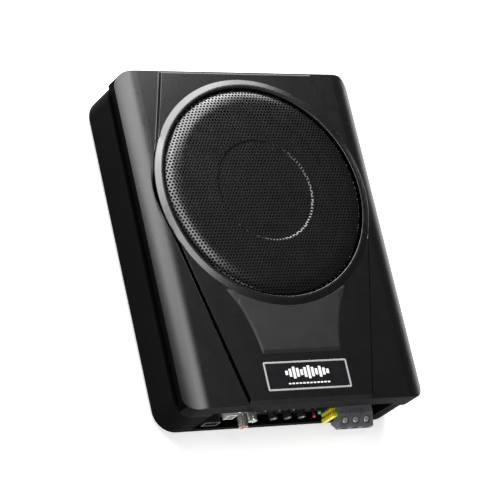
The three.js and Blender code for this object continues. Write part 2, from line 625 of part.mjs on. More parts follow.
function fuseBody() {
  const { x0, x1, z0, z1, reach } = FUSE;
  const headDepth = 4.5;
  const tip = PANEL_FACE - reach;
  const head = box(x0, x1, tip, fuseBodyBack - headDepth, z0, z1);
  const stem = box(x0 + 0.5, x1 - 0.5, fuseBodyBack - headDepth - 0.5, fuseBodyBack, z0 + 1, z1 - 1);
  const bladeSeats = fuseBladeSpans.map((span) =>
    fuseSlab(span, BLADE.halfThickness, fuseBodyBack - BLADE.seat, fuseBodyBack + 1, GAP));
  return cut(joined(head, stem), ...bladeSeats);
}

const fuseBlade = (span) =>
  fuseSlab(span, BLADE.halfThickness, fuseBodyBack - BLADE.seat + GAP, PANEL_FACE - 1.5);

// A square-mouthed socket with rows of square pins, each `pin` wide either side of its middle.
function socket({ x0, x1, z0, z1, reach }, wall, rows, columns, pin) {
  const body = box(x0, x1, PANEL_FACE - reach, panelBack + 4, z0, z1);
  const hollow = box(x0 + wall, x1 - wall, PANEL_FACE - reach - 1, PANEL_FACE, z0 + wall, z1 - wall);
  const pins = [];
  for (let row = 0; row < rows; row += 1) {
    for (let column = 0; column < columns; column += 1) {
      const x = x0 + ((x1 - x0) * (column + 0.5)) / columns;
      const z = z0 + ((z1 - z0) * (row + 0.5)) / rows;
      const tip = PANEL_FACE - reach + PIN_SETBACK;
      pins.push(box(x - pin, x + pin, tip, PANEL_FACE + 1, z - pin, z + pin));
    }
  }
  return cut(toSolid(body), hollow).add(joined(...pins));
}

function highLevelSocket() {
  const { x0, x1, z0, z1 } = HIGH_LEVEL;
  const ribs = [];
  for (let rib = 0; rib < 5; rib += 1) {
    const x = x0 + 2 + ((x1 - x0 - 4) * rib) / 4;
    const tip = PANEL_FACE - HIGH_LEVEL.reach;
    ribs.push(box(x - 0.5, x + 0.5, tip, PANEL_FACE - 1, z1 - 0.5, z1 + 1));
    ribs.push(box(x - 0.5, x + 0.5, tip, PANEL_FACE - 1, z0 - 1, z0 + 0.5));
  }
  return socket(HIGH_LEVEL, 1.3, 1, 4, 0.6).add(joined(...ribs));
}

function remoteSocket() {
  const contacts = [];
  const { x0, x1, z1, reach } = REMOTE;
  for (let contact = 0; contact < 4; contact += 1) {
    const x = (x0 + x1) / 2 + (contact - 1.5) * 1.6;
    const tip = PANEL_FACE - reach + PIN_SETBACK;
    contacts.push(box(x - 0.3, x + 0.3, tip, PANEL_FACE + 1, z1 - 3, z1 - 1));
  }
  return socket(REMOTE, 1.4, 1, 1, 0.3).add(joined(...contacts));
}

// ---- Power terminals ------------------------------------------------------------------------
const TERMINAL_SLOPE = THREE.MathUtils.degToRad(20);
const terminalTip = CONNECTOR_END - CONNECTOR_REACH;
const tipZ = TERMINAL.topZ - (TERMINAL.creaseY - terminalTip) * Math.tan(TERMINAL_SLOPE);
const terminalBase = POCKET.z0 + GAP;
const terminalXs = [-1, 0, 1].map((n) => (TERMINAL.x0 + TERMINAL.x1) / 2 + n * TERMINAL.pitch);
const wireHole = { halfWidth: 4, z0: 13.3, z1: 17.8 };
const SCREW = {
  y: (TERMINAL.creaseY + terminalTip) / 2,
  radius: 1.7,
  headRadius: 3.2,
  wellRadius: 3.7,
  wellDepth: 1.6,
  length: 2.9,
};
const screwNormal = new THREE.Vector3(0, -Math.sin(TERMINAL_SLOPE), Math.cos(TERMINAL_SLOPE));
const screwTopZ = tipZ + (SCREW.y - terminalTip) * Math.tan(TERMINAL_SLOPE);

// A cylinder on a terminal screw's own axis, from one height above the slope to another.
function onScrewAxis(x, low, high, radius, sides = 16) {
  const geometry = new THREE.CylinderGeometry(radius, radius, high - low, sides);
  geometry.rotateX(Math.PI / 2).translate(0, 0, (low + high) / 2);
  return geometry.rotateX(TERMINAL_SLOPE).translate(x, SCREW.y, screwTopZ);
}

function terminalBlock() {
  const underside = 6.2;
  const profile = polygon([
    [PANEL_FACE - GAP, TERMINAL.topZ], [TERMINAL.creaseY, TERMINAL.topZ], [terminalTip, tipZ],
    [terminalTip, 13], [CONNECTOR_END - 2.6, underside], [CONNECTOR_END - GAP, underside],
    [CONNECTOR_END - GAP, terminalBase], [PANEL_FACE - GAP, terminalBase],
  ]);
  const wells = terminalXs.map((x) => onScrewAxis(x, -SCREW.wellDepth, 6, SCREW.wellRadius));
  const shafts = terminalXs.map((x) => onScrewAxis(x, -SCREW.length - 2, 1, SCREW.radius + GAP));
  const holes = terminalXs.map((x) => box(
    x - wireHole.halfWidth, x + wireHole.halfWidth, terminalTip - 1, CONNECTOR_END - 1,
    wireHole.z0, wireHole.z1,
  ));
  const dividers = [0, 1].map((n) => {
    const x = (terminalXs[n] + terminalXs[n + 1]) / 2;
    return box(x - 0.5, x + 0.5, terminalTip - 1, TERMINAL.creaseY + 4, TERMINAL.topZ - 1, TERMINAL.topZ + 2);
  });
  return cut(toSolid(alongX(profile, TERMINAL.x0, TERMINAL.x1)), ...wells, ...shafts, ...holes, ...dividers);
}

function terminalScrew(x) {
  const head = onScrewAxis(x, GAP - SCREW.wellDepth, -0.1, SCREW.headRadius, 20);
  const shaft = onScrewAxis(x, -SCREW.length, -1, SCREW.radius, 14);
  const slot = new THREE.BoxGeometry(4.4, 0.9, 1).translate(0, 0, -0.2);
  const cross = new THREE.BoxGeometry(0.9, 4.4, 1).translate(0, 0, -0.2);
  const recess = [slot, cross].map((g) => g.rotateX(TERMINAL_SLOPE).translate(x, SCREW.y, screwTopZ));
  return cut(joined(head, shaft), ...recess);
}

// ---- Feet and case screws -------------------------------------------------------------------
const foot = ([sx, sy]) =>
  cylinderZ(sx * FOOT.x, sy * FOOT.y, 0, FOOT_HEIGHT - GAP, FOOT.radius, 20);

function caseScrew([sx, sy]) {
  const [x, y] = [sx * CORNER_SCREW.x, sy * CORNER_SCREW.y];
  const slot = box(x - 2.4, x + 2.4, y - 0.5, y + 0.5, FOOT_HEIGHT, FOOT_HEIGHT + 1.2);
  const cross = box(x - 0.5, x + 0.5, y - 2.4, y + 2.4, FOOT_HEIGHT, FOOT_HEIGHT + 1.2);
  return cut(joined(
    cylinderZ(x, y, FOOT_HEIGHT + 0.2, FLOOR_TOP - GAP, CORNER_SCREW.headRadius, 18),
    cylinderZ(x, y, FOOT_HEIGHT + 1, ARRIS_Z - 2, CORNER_SCREW.radius, 12),
  ), slot, cross);
}

// ---- The assembly ---------------------------------------------------------------------------
place('base_shell', baseShell(), 'casing');
place('top_cover', topCover(), 'casing');
place('grille', grille(), 'grille');
place('badge_frame', badgeFrame(), 'silver');
place('badge_field', badgeField(), 'glossBlack');

place('woofer_basket', basket(), 'satinBlack');
place('woofer_gasket', tube(95, 101, WOOFER.flangeTop + 2.6, WOOFER.flangeTop + 4.4, ROUND), 'foam');
place('back_plate', backPlate(), 'zinc');
place('magnet', tube(26, 50, backPlateTop + GAP, magnetTop), 'ferrite');
place('front_plate', tube(WOOFER.gapRadius, 46, magnetTop + GAP, topPlateTop), 'zinc');
place('voice_coil', tube(18.4, CONE.neckRadius, topPlateTop - 9, CONE.neckZ + 3), 'copper');
place('spider', spider(), 'cloth');
place('cone', coneBody(), 'paper');
place('surround', surround(), 'rubber');
place('dust_cap', dustCap(), 'paper');
wooferScrewPlaces.forEach(([x, y], n) => place(`woofer_screw_${n + 1}`, wooferScrew(x, y), 'steel'));

place('circuit_board', circuitBoard(), 'board');
place('heat_sink', heatSink(), 'aluminium');
place('toroid', toroid(), 'copper');
CAPACITOR.x.forEach((x, n) => place(`capacitor_${n + 1}`, capacitor(x), 'satinBlack'));

place('control_panel', controlPanel(), 'satinBlack');
panelScrews.forEach(([x, z], n) => place(`panel_screw_${n + 1}`, panelScrew(x, z), 'steel'));
place('input_jack_right', rcaBarrel(RCA.lowerZ), 'silver');
place('input_jack_left', rcaBarrel(RCA.upperZ), 'silver');
place('jack_insulator_right', rcaInsulator(RCA.lowerZ), 'red');
place('jack_insulator_left', rcaInsulator(RCA.upperZ), 'white');
place('high_level_socket', highLevelSocket(), 'satinBlack');
place('remote_socket', remoteSocket(), 'white');
['gain', 'crossover', 'bass_boost'].forEach((word, n) =>
  place(`${word}_knob`, knob(KNOBS.x[n]), 'satinBlack'));
place('phase_switch_body', switchBody(), 'steel');
place('phase_switch_slider', switchSlider(), 'satinBlack');
place('protect_led', led(LEDS.redZ), 'red');
place('power_led', led(LEDS.greenZ), 'green');
place('fuse_holder', fuseHolder(), 'satinBlack');
place('fuse', fuseBody(), 'yellow');
fuseBladeSpans.forEach((span, n) => place(`fuse_blade_${n + 1}`, fuseBlade(span), 'silver'));
place('terminal_block', terminalBlock(), 'terminalGrey');
terminalXs.forEach((x, n) => place(`terminal_screw_${n + 1}`, terminalScrew(x), 'steel'));

corners.forEach((corner, n) => {
  place(`foot_${n + 1}`, foot(corner), 'rubber');
  place(`case_screw_${n + 1}`, caseScrew(corner), 'steel');
});

export default unit;
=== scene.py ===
"""Looks for a powered under-seat car subwoofer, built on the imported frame.

Lengths in this script are millimetres in the frame's own axes, and turn into metres when a mesh
is made. Places come from the frame's nodes.
"""
import math

import bmesh
import bpy
from mathutils import Matrix, Vector
from mathutils.geometry import delaunay_2d_cdt
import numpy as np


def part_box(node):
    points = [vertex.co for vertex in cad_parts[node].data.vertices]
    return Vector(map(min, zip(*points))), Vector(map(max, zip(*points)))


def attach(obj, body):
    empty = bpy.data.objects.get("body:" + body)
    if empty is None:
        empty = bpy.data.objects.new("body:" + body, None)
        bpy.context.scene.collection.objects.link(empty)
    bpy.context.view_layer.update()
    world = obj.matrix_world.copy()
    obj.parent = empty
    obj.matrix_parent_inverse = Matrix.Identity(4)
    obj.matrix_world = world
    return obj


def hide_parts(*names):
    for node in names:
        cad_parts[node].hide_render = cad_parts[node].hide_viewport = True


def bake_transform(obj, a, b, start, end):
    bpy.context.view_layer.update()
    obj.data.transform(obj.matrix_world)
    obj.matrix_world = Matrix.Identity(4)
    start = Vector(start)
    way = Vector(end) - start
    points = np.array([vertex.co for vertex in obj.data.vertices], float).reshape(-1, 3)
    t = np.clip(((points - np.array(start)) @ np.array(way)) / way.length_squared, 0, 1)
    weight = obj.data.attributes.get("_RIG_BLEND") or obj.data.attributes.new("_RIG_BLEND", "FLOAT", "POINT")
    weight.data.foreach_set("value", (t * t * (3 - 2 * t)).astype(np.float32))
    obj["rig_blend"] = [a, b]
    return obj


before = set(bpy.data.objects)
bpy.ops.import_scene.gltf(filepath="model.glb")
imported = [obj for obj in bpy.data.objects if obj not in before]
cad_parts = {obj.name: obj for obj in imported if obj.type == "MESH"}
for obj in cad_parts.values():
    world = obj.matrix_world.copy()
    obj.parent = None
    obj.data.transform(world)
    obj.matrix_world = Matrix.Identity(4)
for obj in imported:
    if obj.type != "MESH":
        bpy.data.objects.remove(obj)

MM = 0.001
scene = bpy.context.scene
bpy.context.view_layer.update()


# ---- Places from the frame ----
def span(node):
    """Lowest and highest corner of a CAD node, in millimetres."""
    low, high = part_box(node)
    return Vector(low) / MM, Vector(high) / MM


COVER_LOW, COVER_HIGH = span("top_cover")
GRILLE_LOW, GRILLE_HIGH = span("grille")
PANEL_LOW, PANEL_HIGH = span("control_panel")
BASE_LOW, BASE_HIGH = span("base_shell")
HALF_WIDTH = COVER_HIGH.x
CONNECTOR_END = COVER_LOW.y
FAR_END = COVER_HIGH.y
HALF_LENGTH = (FAR_END - CONNECTOR_END) / 2
MIDDLE_Y = (CONNECTOR_END + FAR_END) / 2
AXIS = Vector((0, (GRILLE_LOW.y + GRILLE_HIGH.y) / 2))
SEAM_Z = COVER_LOW.z
PANEL_FACE = PANEL_LOW.y
WALL = 3.0
GAP = 0.3  # between pieces that touch
CLEAR = 5.0  # how far a cutter reaches past the surface that it opens
CONE_BODY = "cone_assembly"


# ---- Mesh building ----
SHARP_DEGREES = 35  # an edge that turns by more than this is shaded as a corner
COVER_SHARP_DEGREES = 28


def link_object(name, data):
    obj = bpy.data.objects.new(name, data)
    scene.collection.objects.link(obj)
    return obj


def add_object(name, mesh, slot, body="enclosure", replaces=(), look=""):
    """A piece on a body; its look is the slot's material unless another is named."""
    obj = link_object(name, mesh)
    mesh.materials.append(MATERIALS[look or slot])
    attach(obj, body)
    if replaces:
        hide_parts(*replaces)
    return obj


def bmesh_to_mesh(name, bm, sharp_degrees=SHARP_DEGREES):
    """Close off a bmesh in millimetres as a smooth-shaded mesh in metres."""
    bmesh.ops.remove_doubles(bm, verts=bm.verts, dist=1e-4)
    bmesh.ops.recalc_face_normals(bm, faces=bm.faces)
    bmesh.ops.scale(bm, vec=(MM, MM, MM), verts=bm.verts)
    mesh = bpy.data.meshes.new(name)
    bm.to_mesh(mesh)
    bm.free()
    mesh.shade_smooth()
    mesh.set_sharp_from_angle(angle=math.radians(sharp_degrees))
    return mesh


def even_normals(obj):
    modifier = obj.modifiers.new("even normals", "WEIGHTED_NORMAL")
    modifier.keep_sharp = True
    modifier.weight = 80


def combine(obj, mesh, operation):
    """Join a closed mesh to an object's mesh, or cut it out, for good."""
    tool = link_object("tool", mesh)
    modifier = obj.modifiers.new("combine", "BOOLEAN")
    modifier.object = tool
    modifier.operation = operation
    modifier.solver = "EXACT"
    evaluated = obj.evaluated_get(bpy.context.evaluated_depsgraph_get())
    combined = bpy.data.meshes.new_from_object(evaluated)
    obj.modifiers.clear()
    obj.data = combined
    bpy.data.objects.remove(tool)


def carve(obj, *cutters):
    for cutter in cutters:
        combine(obj, cutter, "DIFFERENCE")
    obj.data.shade_smooth()
    obj.data.set_sharp_from_angle(angle=math.radians(SHARP_DEGREES))


def block_mesh(low, high):
    """A plain block, used only to join or cut."""
    bm = bmesh.new()
    bmesh.ops.create_cube(bm, size=1)
    size = Vector(high) - Vector(low)
    middle = (Vector(high) + Vector(low)) / 2
    bmesh.ops.scale(bm, vec=size, verts=bm.verts)
    bmesh.ops.translate(bm, vec=middle, verts=bm.verts)
    return bmesh_to_mesh("block", bm)


def skin_loops(bm, loops, closed=False):
    """Join loops of equal length with quads; closed also joins the last loop to the first."""
    rings = [[bm.verts.new(point) for point in loop] for loop in loops]
    pairs = list(zip(rings, rings[1:]))
    if closed:
        pairs.append((rings[-1], rings[0]))
    for low, high in pairs:
        for i in range(len(low)):
            j = (i + 1) % len(low)
            bm.faces.new((low[i], low[j], high[j], high[i]))
    return rings


def lathe(bm, profile, place, sides=64, ripple=lambda angle: 1.0):
    """Turn [radius, height] points about the Z axis of a placing matrix; ends at radius 0 close."""
    loops = []
    for radius, height in profile:
        loop = []
        for side in range(sides):
            angle = 2 * math.pi * side / sides
            reach = max(radius, 1e-5) * ripple(angle)
            loop.append(place @ Vector((reach * math.cos(angle), reach * math.sin(angle), height)))
        loops.append(loop)
    closed = profile[0][0] > 0 and profile[-1][0] > 0
    skin_loops(bm, loops, closed=closed)


def rounded_rectangle(half_x, half_y, radius, steps=10):
    points = []
    for quarter, (sx, sy) in enumerate(((1, 1), (-1, 1), (-1, -1), (1, -1))):
        centre = Vector((sx * (half_x - radius), sy * (half_y - radius)))
        for step in range(steps + 1):
            angle = (quarter + step / steps) * math.pi / 2
            points.append(centre + radius * Vector((math.cos(angle), math.sin(angle))))
    return points


def frame_sweep(bm, half_x, half_y, radius, profile, place, closed=True):
    """Run [inset, height] points round a rounded rectangle."""
    loops = []
    for inset, height in profile:
        loop = rounded_rectangle(half_x - inset, half_y - inset, max(radius - inset, 0.05), 6)
        loops.append([place @ Vector((point.x, point.y, height)) for point in loop])
    return skin_loops(bm, loops, closed=closed)


def capped_sweep(bm, half_x, half_y, radius, profile, place):
    """A swept rounded rectangle, closed at both ends of its profile."""
    rings = frame_sweep(bm, half_x, half_y, radius, profile, place, closed=False)
    bm.faces.new(rings[0][::-1])
    bm.faces.new(rings[-1])


def upright_at(x, y):
    return Matrix.Translation((x, y, 0))


def facing_out(x, y, z):
    """Local Z points out of the connector end, local Y points up."""
    turn = Matrix(((1, 0, 0), (0, 0, -1), (0, 1, 0))).to_4x4()
    return Matrix.Translation((x, y, z)) @ turn


def new_piece(name, bm, slot, body="enclosure", replaces=(), look="",
              sharp_degrees=SHARP_DEGREES):
    mesh = bmesh_to_mesh(name, bm, sharp_degrees)
    even_normals(add_object(name, mesh, slot, body, replaces, look))


# ---- Materials ----
class Nodes:
    """A material's node tree with short calls for the nodes used here."""

    def __init__(self, name):
        self.material = bpy.data.materials.new(name)
        self.material.use_nodes = True
        self.tree = self.material.node_tree
        self.shader = self.tree.nodes["Principled BSDF"]
        self.place = self.add("ShaderNodeTexCoord").outputs["Object"]

    def add(self, kind, **settings):
        node = self.tree.nodes.new(kind)
        for key, value in settings.items():
            setattr(node, key, value)
        return node

    def link(self, source, target):
        self.tree.links.new(source, target)

    def noise(self, size, detail=3.0, stretch=(1, 1, 1)):
        """Noise whose features are about size millimetres across."""
        mapping = self.add("ShaderNodeMapping")
        mapping.inputs["Scale"].default_value = stretch
        self.link(self.place, mapping.inputs["Vector"])
        node = self.add("ShaderNodeTexNoise")
        node.inputs["Scale"].default_value = 1 / (size * MM)
        node.inputs["Detail"].default_value = detail
        self.link(mapping.outputs["Vector"], node.inputs["Vector"])
        return node.outputs["Fac"]

    def ranged(self, value, low, high, to_low, to_high):
        node = self.add("ShaderNodeMapRange")
        for socket, number in zip(node.inputs[1:5], (low, high, to_low, to_high)):
            socket.default_value = number
        self.link(value, node.inputs[0])
        return node.outputs[0]

    def mixed(self, factor, first, second):
        node = self.add("ShaderNodeMix", data_type="RGBA")
        self.link(factor, node.inputs["Factor"])
        for socket, colour in ((node.inputs[6], first), (node.inputs[7], second)):
            if isinstance(colour, bpy.types.NodeSocket):
                self.link(colour, socket)
            else:
                socket.default_value = (*colour, 1)
        return node.outputs[2]

    def bump(self, height, depth, normal=None):
        node = self.add("ShaderNodeBump")
        node.inputs["Distance"].default_value = depth * MM
        self.link(height, node.inputs["Height"])
        if normal is not None:
            self.link(normal, node.inputs["Normal"])
        return node.outputs["Normal"]

    def worn_edges(self):
        """0 on flats, 1 on outer edges, broken up so that wear looks uneven."""
        pointed = self.add("ShaderNodeNewGeometry").outputs["Pointiness"]
        edge = self.ranged(pointed, 0.52, 0.6, 0.0, 1.0)
        patches = self.ranged(self.noise(9), 0.35, 0.65, 0.2, 1.0)
        node = self.add("ShaderNodeMath", operation="MULTIPLY")
        self.link(edge, node.inputs[0])
        self.link(patches, node.inputs[1])
        return node.outputs[0]


def shade(colour, factor):
    return tuple(min(channel * factor, 1.0) for channel in colour)


def moulded(name, colour, roughness, grain=0.4, depth=0.02, specular=0.5, mottle=0.12, wear=1.6,
            metallic=0.0, coat=0.0, stretch=(1, 1, 1), uneven=0.03):
    """A general finish: two sizes of colour variation, grain, uneven gloss and worn edges."""
    nodes = Nodes(name)
    shader = nodes.shader
    patches = nodes.ranged(nodes.noise(28), 0.3, 0.7, 0.0, 1.0)
    broad = nodes.mixed(patches, shade(colour, 1 - mottle), shade(colour, 1 + mottle))
    fine = nodes.noise(grain, 4.0, stretch)
    specks = nodes.ranged(fine, 0.45, 0.75, 0.0, 0.35)
    speckled = nodes.mixed(specks, broad, shade(colour, 1 + 2.5 * mottle))
    edge = nodes.worn_edges()
    nodes.link(nodes.mixed(edge, speckled, shade(colour, wear)), shader.inputs["Base Color"])
    gloss = nodes.ranged(nodes.noise(14, 5.0), 0.3, 0.7, roughness - uneven, roughness + uneven)
    nodes.link(gloss, shader.inputs["Roughness"])
    coarse = nodes.bump(nodes.noise(grain * 3.2, 2.0, stretch), depth * 0.6)
    nodes.link(nodes.bump(fine, depth, coarse), shader.inputs["Normal"])
    shader.inputs["Specular IOR Level"].default_value = specular
    shader.inputs["Metallic"].default_value = metallic
    shader.inputs["Coat Weight"].default_value = coat
    return nodes


def banded(nodes, axis, pitch, depth):
    """Add fine parallel ridges, such as turns of wire or rolled corrugations."""
    wave = nodes.add("ShaderNodeTexWave", wave_type="BANDS", bands_direction=axis)
    wave.inputs["Scale"].default_value = 1 / (pitch * MM) / 3.2
    wave.inputs["Distortion"].default_value = 0.4
    nodes.link(nodes.place, wave.inputs["Vector"])
    before = nodes.shader.inputs["Normal"].links[0].from_socket
    nodes.link(nodes.bump(wave.outputs["Fac"], depth, before), nodes.shader.inputs["Normal"])


BLACK = (0.003, 0.0031, 0.0033)
FINISHES = {  # colour, roughness, and how else each differs from a plain moulding
    "casing": (BLACK, 0.28, dict(grain=0.5, depth=0.014, specular=0.62, uneven=0.012)),
    "casing_ring": (BLACK, 0.25, dict(grain=0.5, depth=0.01, specular=0.95, uneven=0.01)),
    "casing_base": (shade(BLACK, 0.8), 0.5, dict(grain=0.6, depth=0.035, specular=0.006)),
    # painted shade: a darker, nearly unreflective copy of the casing for the skirt, side walls, lip, moat
    # and lower flanks, which face away from the lights
    "casing_painted_shade": (shade(BLACK, 0.25), 0.6, dict(grain=0.5, depth=0.03, specular=0.003)),
    # painted light: a lighter copy of the casing for the upright front faces, which face the front light
    "casing_front_painted_light": (shade(BLACK, 1.6), 0.5, dict(grain=0.5, depth=0.02, specular=0.012)),
    # the tongue's own grain; on the front chamfer the same lighter colour is painted light
    "casing_grain_and_painted_light": (shade(BLACK, 2.4), 0.48, dict(grain=0.6, depth=0.05, specular=0.45)),
    "grille": ((0.005, 0.005, 0.0052), 0.25, dict(grain=0.3, depth=0.008, specular=1.0,
        metallic=0.1, wear=1.8, uneven=0.015)),
    "black_plastic": ((0.01, 0.01, 0.011), 0.42, dict(depth=0.012)),
    "panel_black": ((0.012, 0.012, 0.013), 0.5, dict(grain=0.25, depth=0.015, specular=0.25)),
    "badge_black": ((0.006, 0.006, 0.007), 0.2, dict(depth=0.002, coat=0.4)),
    "badge_silver": ((0.4, 0.405, 0.42), 0.34, dict(grain=0.35, depth=0.002, metallic=0.25,
        mottle=0.06, wear=1.1, stretch=(0.05, 1, 1))),
    "nickel": ((0.66, 0.65, 0.61), 0.26, dict(depth=0.003, metallic=0.8, wear=1.2)),
    "plated_screw": ((0.5, 0.5, 0.5), 0.34, dict(depth=0.004, metallic=0.45, wear=1.4)),
    "steel": ((0.45, 0.46, 0.48), 0.32, dict(depth=0.006, metallic=1.0, wear=1.3,
        stretch=(1, 0.2, 1))),
    "black_steel": ((0.03, 0.03, 0.032), 0.4, dict(depth=0.01, metallic=0.8, wear=3.0)),
    "zinc": ((0.5, 0.47, 0.38), 0.35, dict(depth=0.008, metallic=1.0, mottle=0.2)),
    "copper": ((0.5, 0.2, 0.08), 0.3, dict(depth=0.01, metallic=0.9)),
    "red_plastic": ((0.55, 0.012, 0.018), 0.35, dict(depth=0.006, wear=1.15)),
    "white_plastic": ((0.5, 0.495, 0.47), 0.4, dict(depth=0.008, mottle=0.05, wear=1.05)),
    "print_white": ((0.72, 0.72, 0.7), 0.6, dict(grain=0.2, depth=0.002, mottle=0.08, wear=1.0)),
    "fuse_yellow": ((0.75, 0.62, 0.012), 0.22, dict(depth=0.003, mottle=0.05, wear=1.1)),
    "led_red": ((0.5, 0.02, 0.03), 0.12, dict(depth=0.001, mottle=0.03, wear=1.1)),
    "led_green": ((0.05, 0.5, 0.28), 0.12, dict(depth=0.001, mottle=0.03, wear=1.1)),
    "terminal_grey": ((0.1, 0.103, 0.11), 0.42, dict(depth=0.012)),
    "rubber": ((0.008, 0.008, 0.008), 0.75, dict(depth=0.03, specular=0.3)),
    "foam": ((0.02, 0.02, 0.02), 0.9, dict(grain=0.9, depth=0.12, specular=0.1)),
    "paper": ((0.016, 0.016, 0.017), 0.75, dict(grain=1.1, depth=0.08, specular=0.2,
        stretch=(1, 1, 0.3))),
    "spider_cloth": ((0.4, 0.24, 0.06), 0.8, dict(grain=0.5, depth=0.08)),
    "ferrite": ((0.022, 0.022, 0.024), 0.65, dict(grain=0.7, depth=0.05)),
    "board_green": ((0.012, 0.075, 0.03), 0.35, dict(depth=0.01, coat=0.3)),
    "aluminium": ((0.5, 0.51, 0.53), 0.36, dict(depth=0.008, metallic=1.0, stretch=(1, 0.06, 1))),
}


def make_materials():
    made = {}
    for name, (colour, roughness, rest) in FINISHES.items():
        made[name] = moulded(name, colour, roughness, **rest)
    banded(made["copper"], "Z", 0.5, 0.1)
    banded(made["spider_cloth"], "X", 0.6, 0.05)
    return {name: nodes.material for name, nodes in made.items()}


MATERIALS = make_materials()


# ---- The cover ----
RING_TOP_Z = COVER_HIGH.z
RING_FOOT_Z = RING_TOP_Z - 2.35
PANEL_Z = RING_TOP_Z - 1.4
WING_Z = PANEL_Z - 2.5
ARRIS_Z = WING_Z - 8.5
LEDGE_Z = GRILLE_LOW.z - 10
LIP_RADIUS = GRILLE_HIGH.x + 1
RING_RADIUS = LIP_RADIUS + 8.5
LEDGE_BORE = LIP_RADIUS - 7
RING_SECTION = (  # distance outside the ring's radius and depth below its top, from foot to lip
    (0.25, 12.6), (0.12, 2.7), (-0.2, 2.35), (-0.6, 2.14), (-5.0, 0.27), (-5.6, 0.06),
    (-6.2, 0.0), (-7.4, 0.0), (-8.0, 0.15), (-8.35, 0.45), (-8.5, 0.8),
)
RING_MIDDLES = [-2.35, -4.4]  # more lines for the mesh, across the widest part of the slope
RING_SIDES = 240
RING_PROFILE = [(RING_RADIUS + out, RING_TOP_Z - depth) for out, depth in RING_SECTION]
RING_FOOT = RING_PROFILE[0][0]
RING_SLOPE_END = RING_RADIUS - 6.2
RING_BLEND = 0.35  # radians past a tangent over which the ring's foot rises to the raised area
CORNER_RADIUS = 14.0
EDGE_ROUND = 0.6
END_LAND = 1.5  # left beyond the raised area at the far end
ROLL_WIDTH = 22.0
ROLL_STRIPS = 28
SKIRT_LEAN = 3.0  # how far the long sides slope in towards the seam
HEX_FAR = Vector((81.0, FAR_END - END_LAND))
HEX_NEAR = Vector((64.5, CONNECTOR_END + 0.5))
STEP_WIDTH = 2.2
MOAT_WIDTH = 2.8
MOAT_DEPTH = 1.5
MOAT_BLEND = 0.35  # radians over which the moat fades out along the ring
CHAMFER = 4.5
CHAMFER_LOW_Z = WING_Z - 0.4
TONGUE_ROOT_Y = MIDDLE_Y - 54
TONGUE_SIDE = ((62, 0), (46, 24), (41, 60))  # half width and distance from the root, as a curve
TONGUE_END_Y = TONGUE_ROOT_Y - TONGUE_SIDE[-1][1]
TONGUE_RISE = 0.9
TONGUE_BEVEL = 3.6
TONGUE_ROUND = 0.45  # width of its drop at the ring's foot


def soft_step(distance, width):
    """0 before an edge and 1 past it, with rounded ends."""
    t = min(max(distance / width, 0.0), 1.0)
    return t * t * (3 - 2 * t)


def roll_height(x):
    """The side areas, and the long edges that roll down to the arris, steepest at the arris."""
    inward = HALF_WIDTH - abs(x)
    if inward >= ROLL_WIDTH:
        return WING_Z
    return WING_Z - (WING_Z - ARRIS_Z) * (1 - max(inward, 0) / ROLL_WIDTH) ** 2


def tangent_angle(point):
    """Bearing from the woofer's axis of the place where a line from the point meets the ring."""
    away = point - AXIS
    swing = math.acos(RING_RADIUS / away.length)
    bearing = math.atan2(away.y, away.x)
    return bearing - swing if away.y > 0 else bearing + swing


UPPER_TANGENT = tangent_angle(HEX_FAR)
LOWER_TANGENT = tangent_angle(HEX_NEAR)


def inside_hexagon(x, y):
    """How far a place is inside the raised area's slanting sides, which run into the ring."""
    away = Vector((abs(x), y)) - AXIS
    angle = math.atan2(away.y, away.x)
    nearest = min(max(angle, LOWER_TANGENT), UPPER_TANGENT)
    if nearest == angle:
        return RING_RADIUS - away.length
    return RING_RADIUS - away.dot(Vector((math.cos(nearest), math.sin(nearest))))


def moat(x, y):
    """1 at the foot of the ring where it stands on the side areas, fading outwards and along it."""
    away = Vector((abs(x), y)) - AXIS
    outside = away.length - RING_RADIUS
    if outside < 0:
        return 0.0
    angle = math.atan2(away.y, away.x)
    along = min(angle - LOWER_TANGENT, UPPER_TANGENT - angle)
    return soft_step(MOAT_WIDTH - outside, MOAT_WIDTH) * soft_step(along, MOAT_BLEND)


def tongue_side(y):
    """Half the tongue's width, hollow along its sides, and a little way past its root."""
    (root, _), (bend, bend_down), (end, end_down) = TONGUE_SIDE
    down = max(TONGUE_ROOT_Y - y, -40)
    curve = end_down - 2 * bend_down
    t = (math.sqrt(bend_down ** 2 + curve * down) - bend_down) / curve
    return (1 - t) ** 2 * root + 2 * t * (1 - t) * bend + t * t * end


def ring_height(x, y):
    """The ring's own surface; its slope starts higher where it stands on the raised area."""
    away = Vector((abs(x), y)) - AXIS
    radius = away.length
    if radius >= RING_FOOT:
        return 0.0
    height = RING_PROFILE[-1][1]
    for (outer, low), (inner, high) in zip(RING_PROFILE, RING_PROFILE[1:]):
        if radius >= inner:
            height = high + (low - high) * (radius - inner) / (outer - inner)
            break
    if height > RING_FOOT_Z and radius > RING_SLOPE_END:
        angle = math.atan2(away.y, away.x)
        beyond = max(angle - UPPER_TANGENT, LOWER_TANGENT - angle)
        lift = (PANEL_Z - RING_FOOT_Z) * soft_step(beyond, RING_BLEND)
        height += lift * (RING_TOP_Z - height) / (RING_TOP_Z - RING_FOOT_Z)
    return height


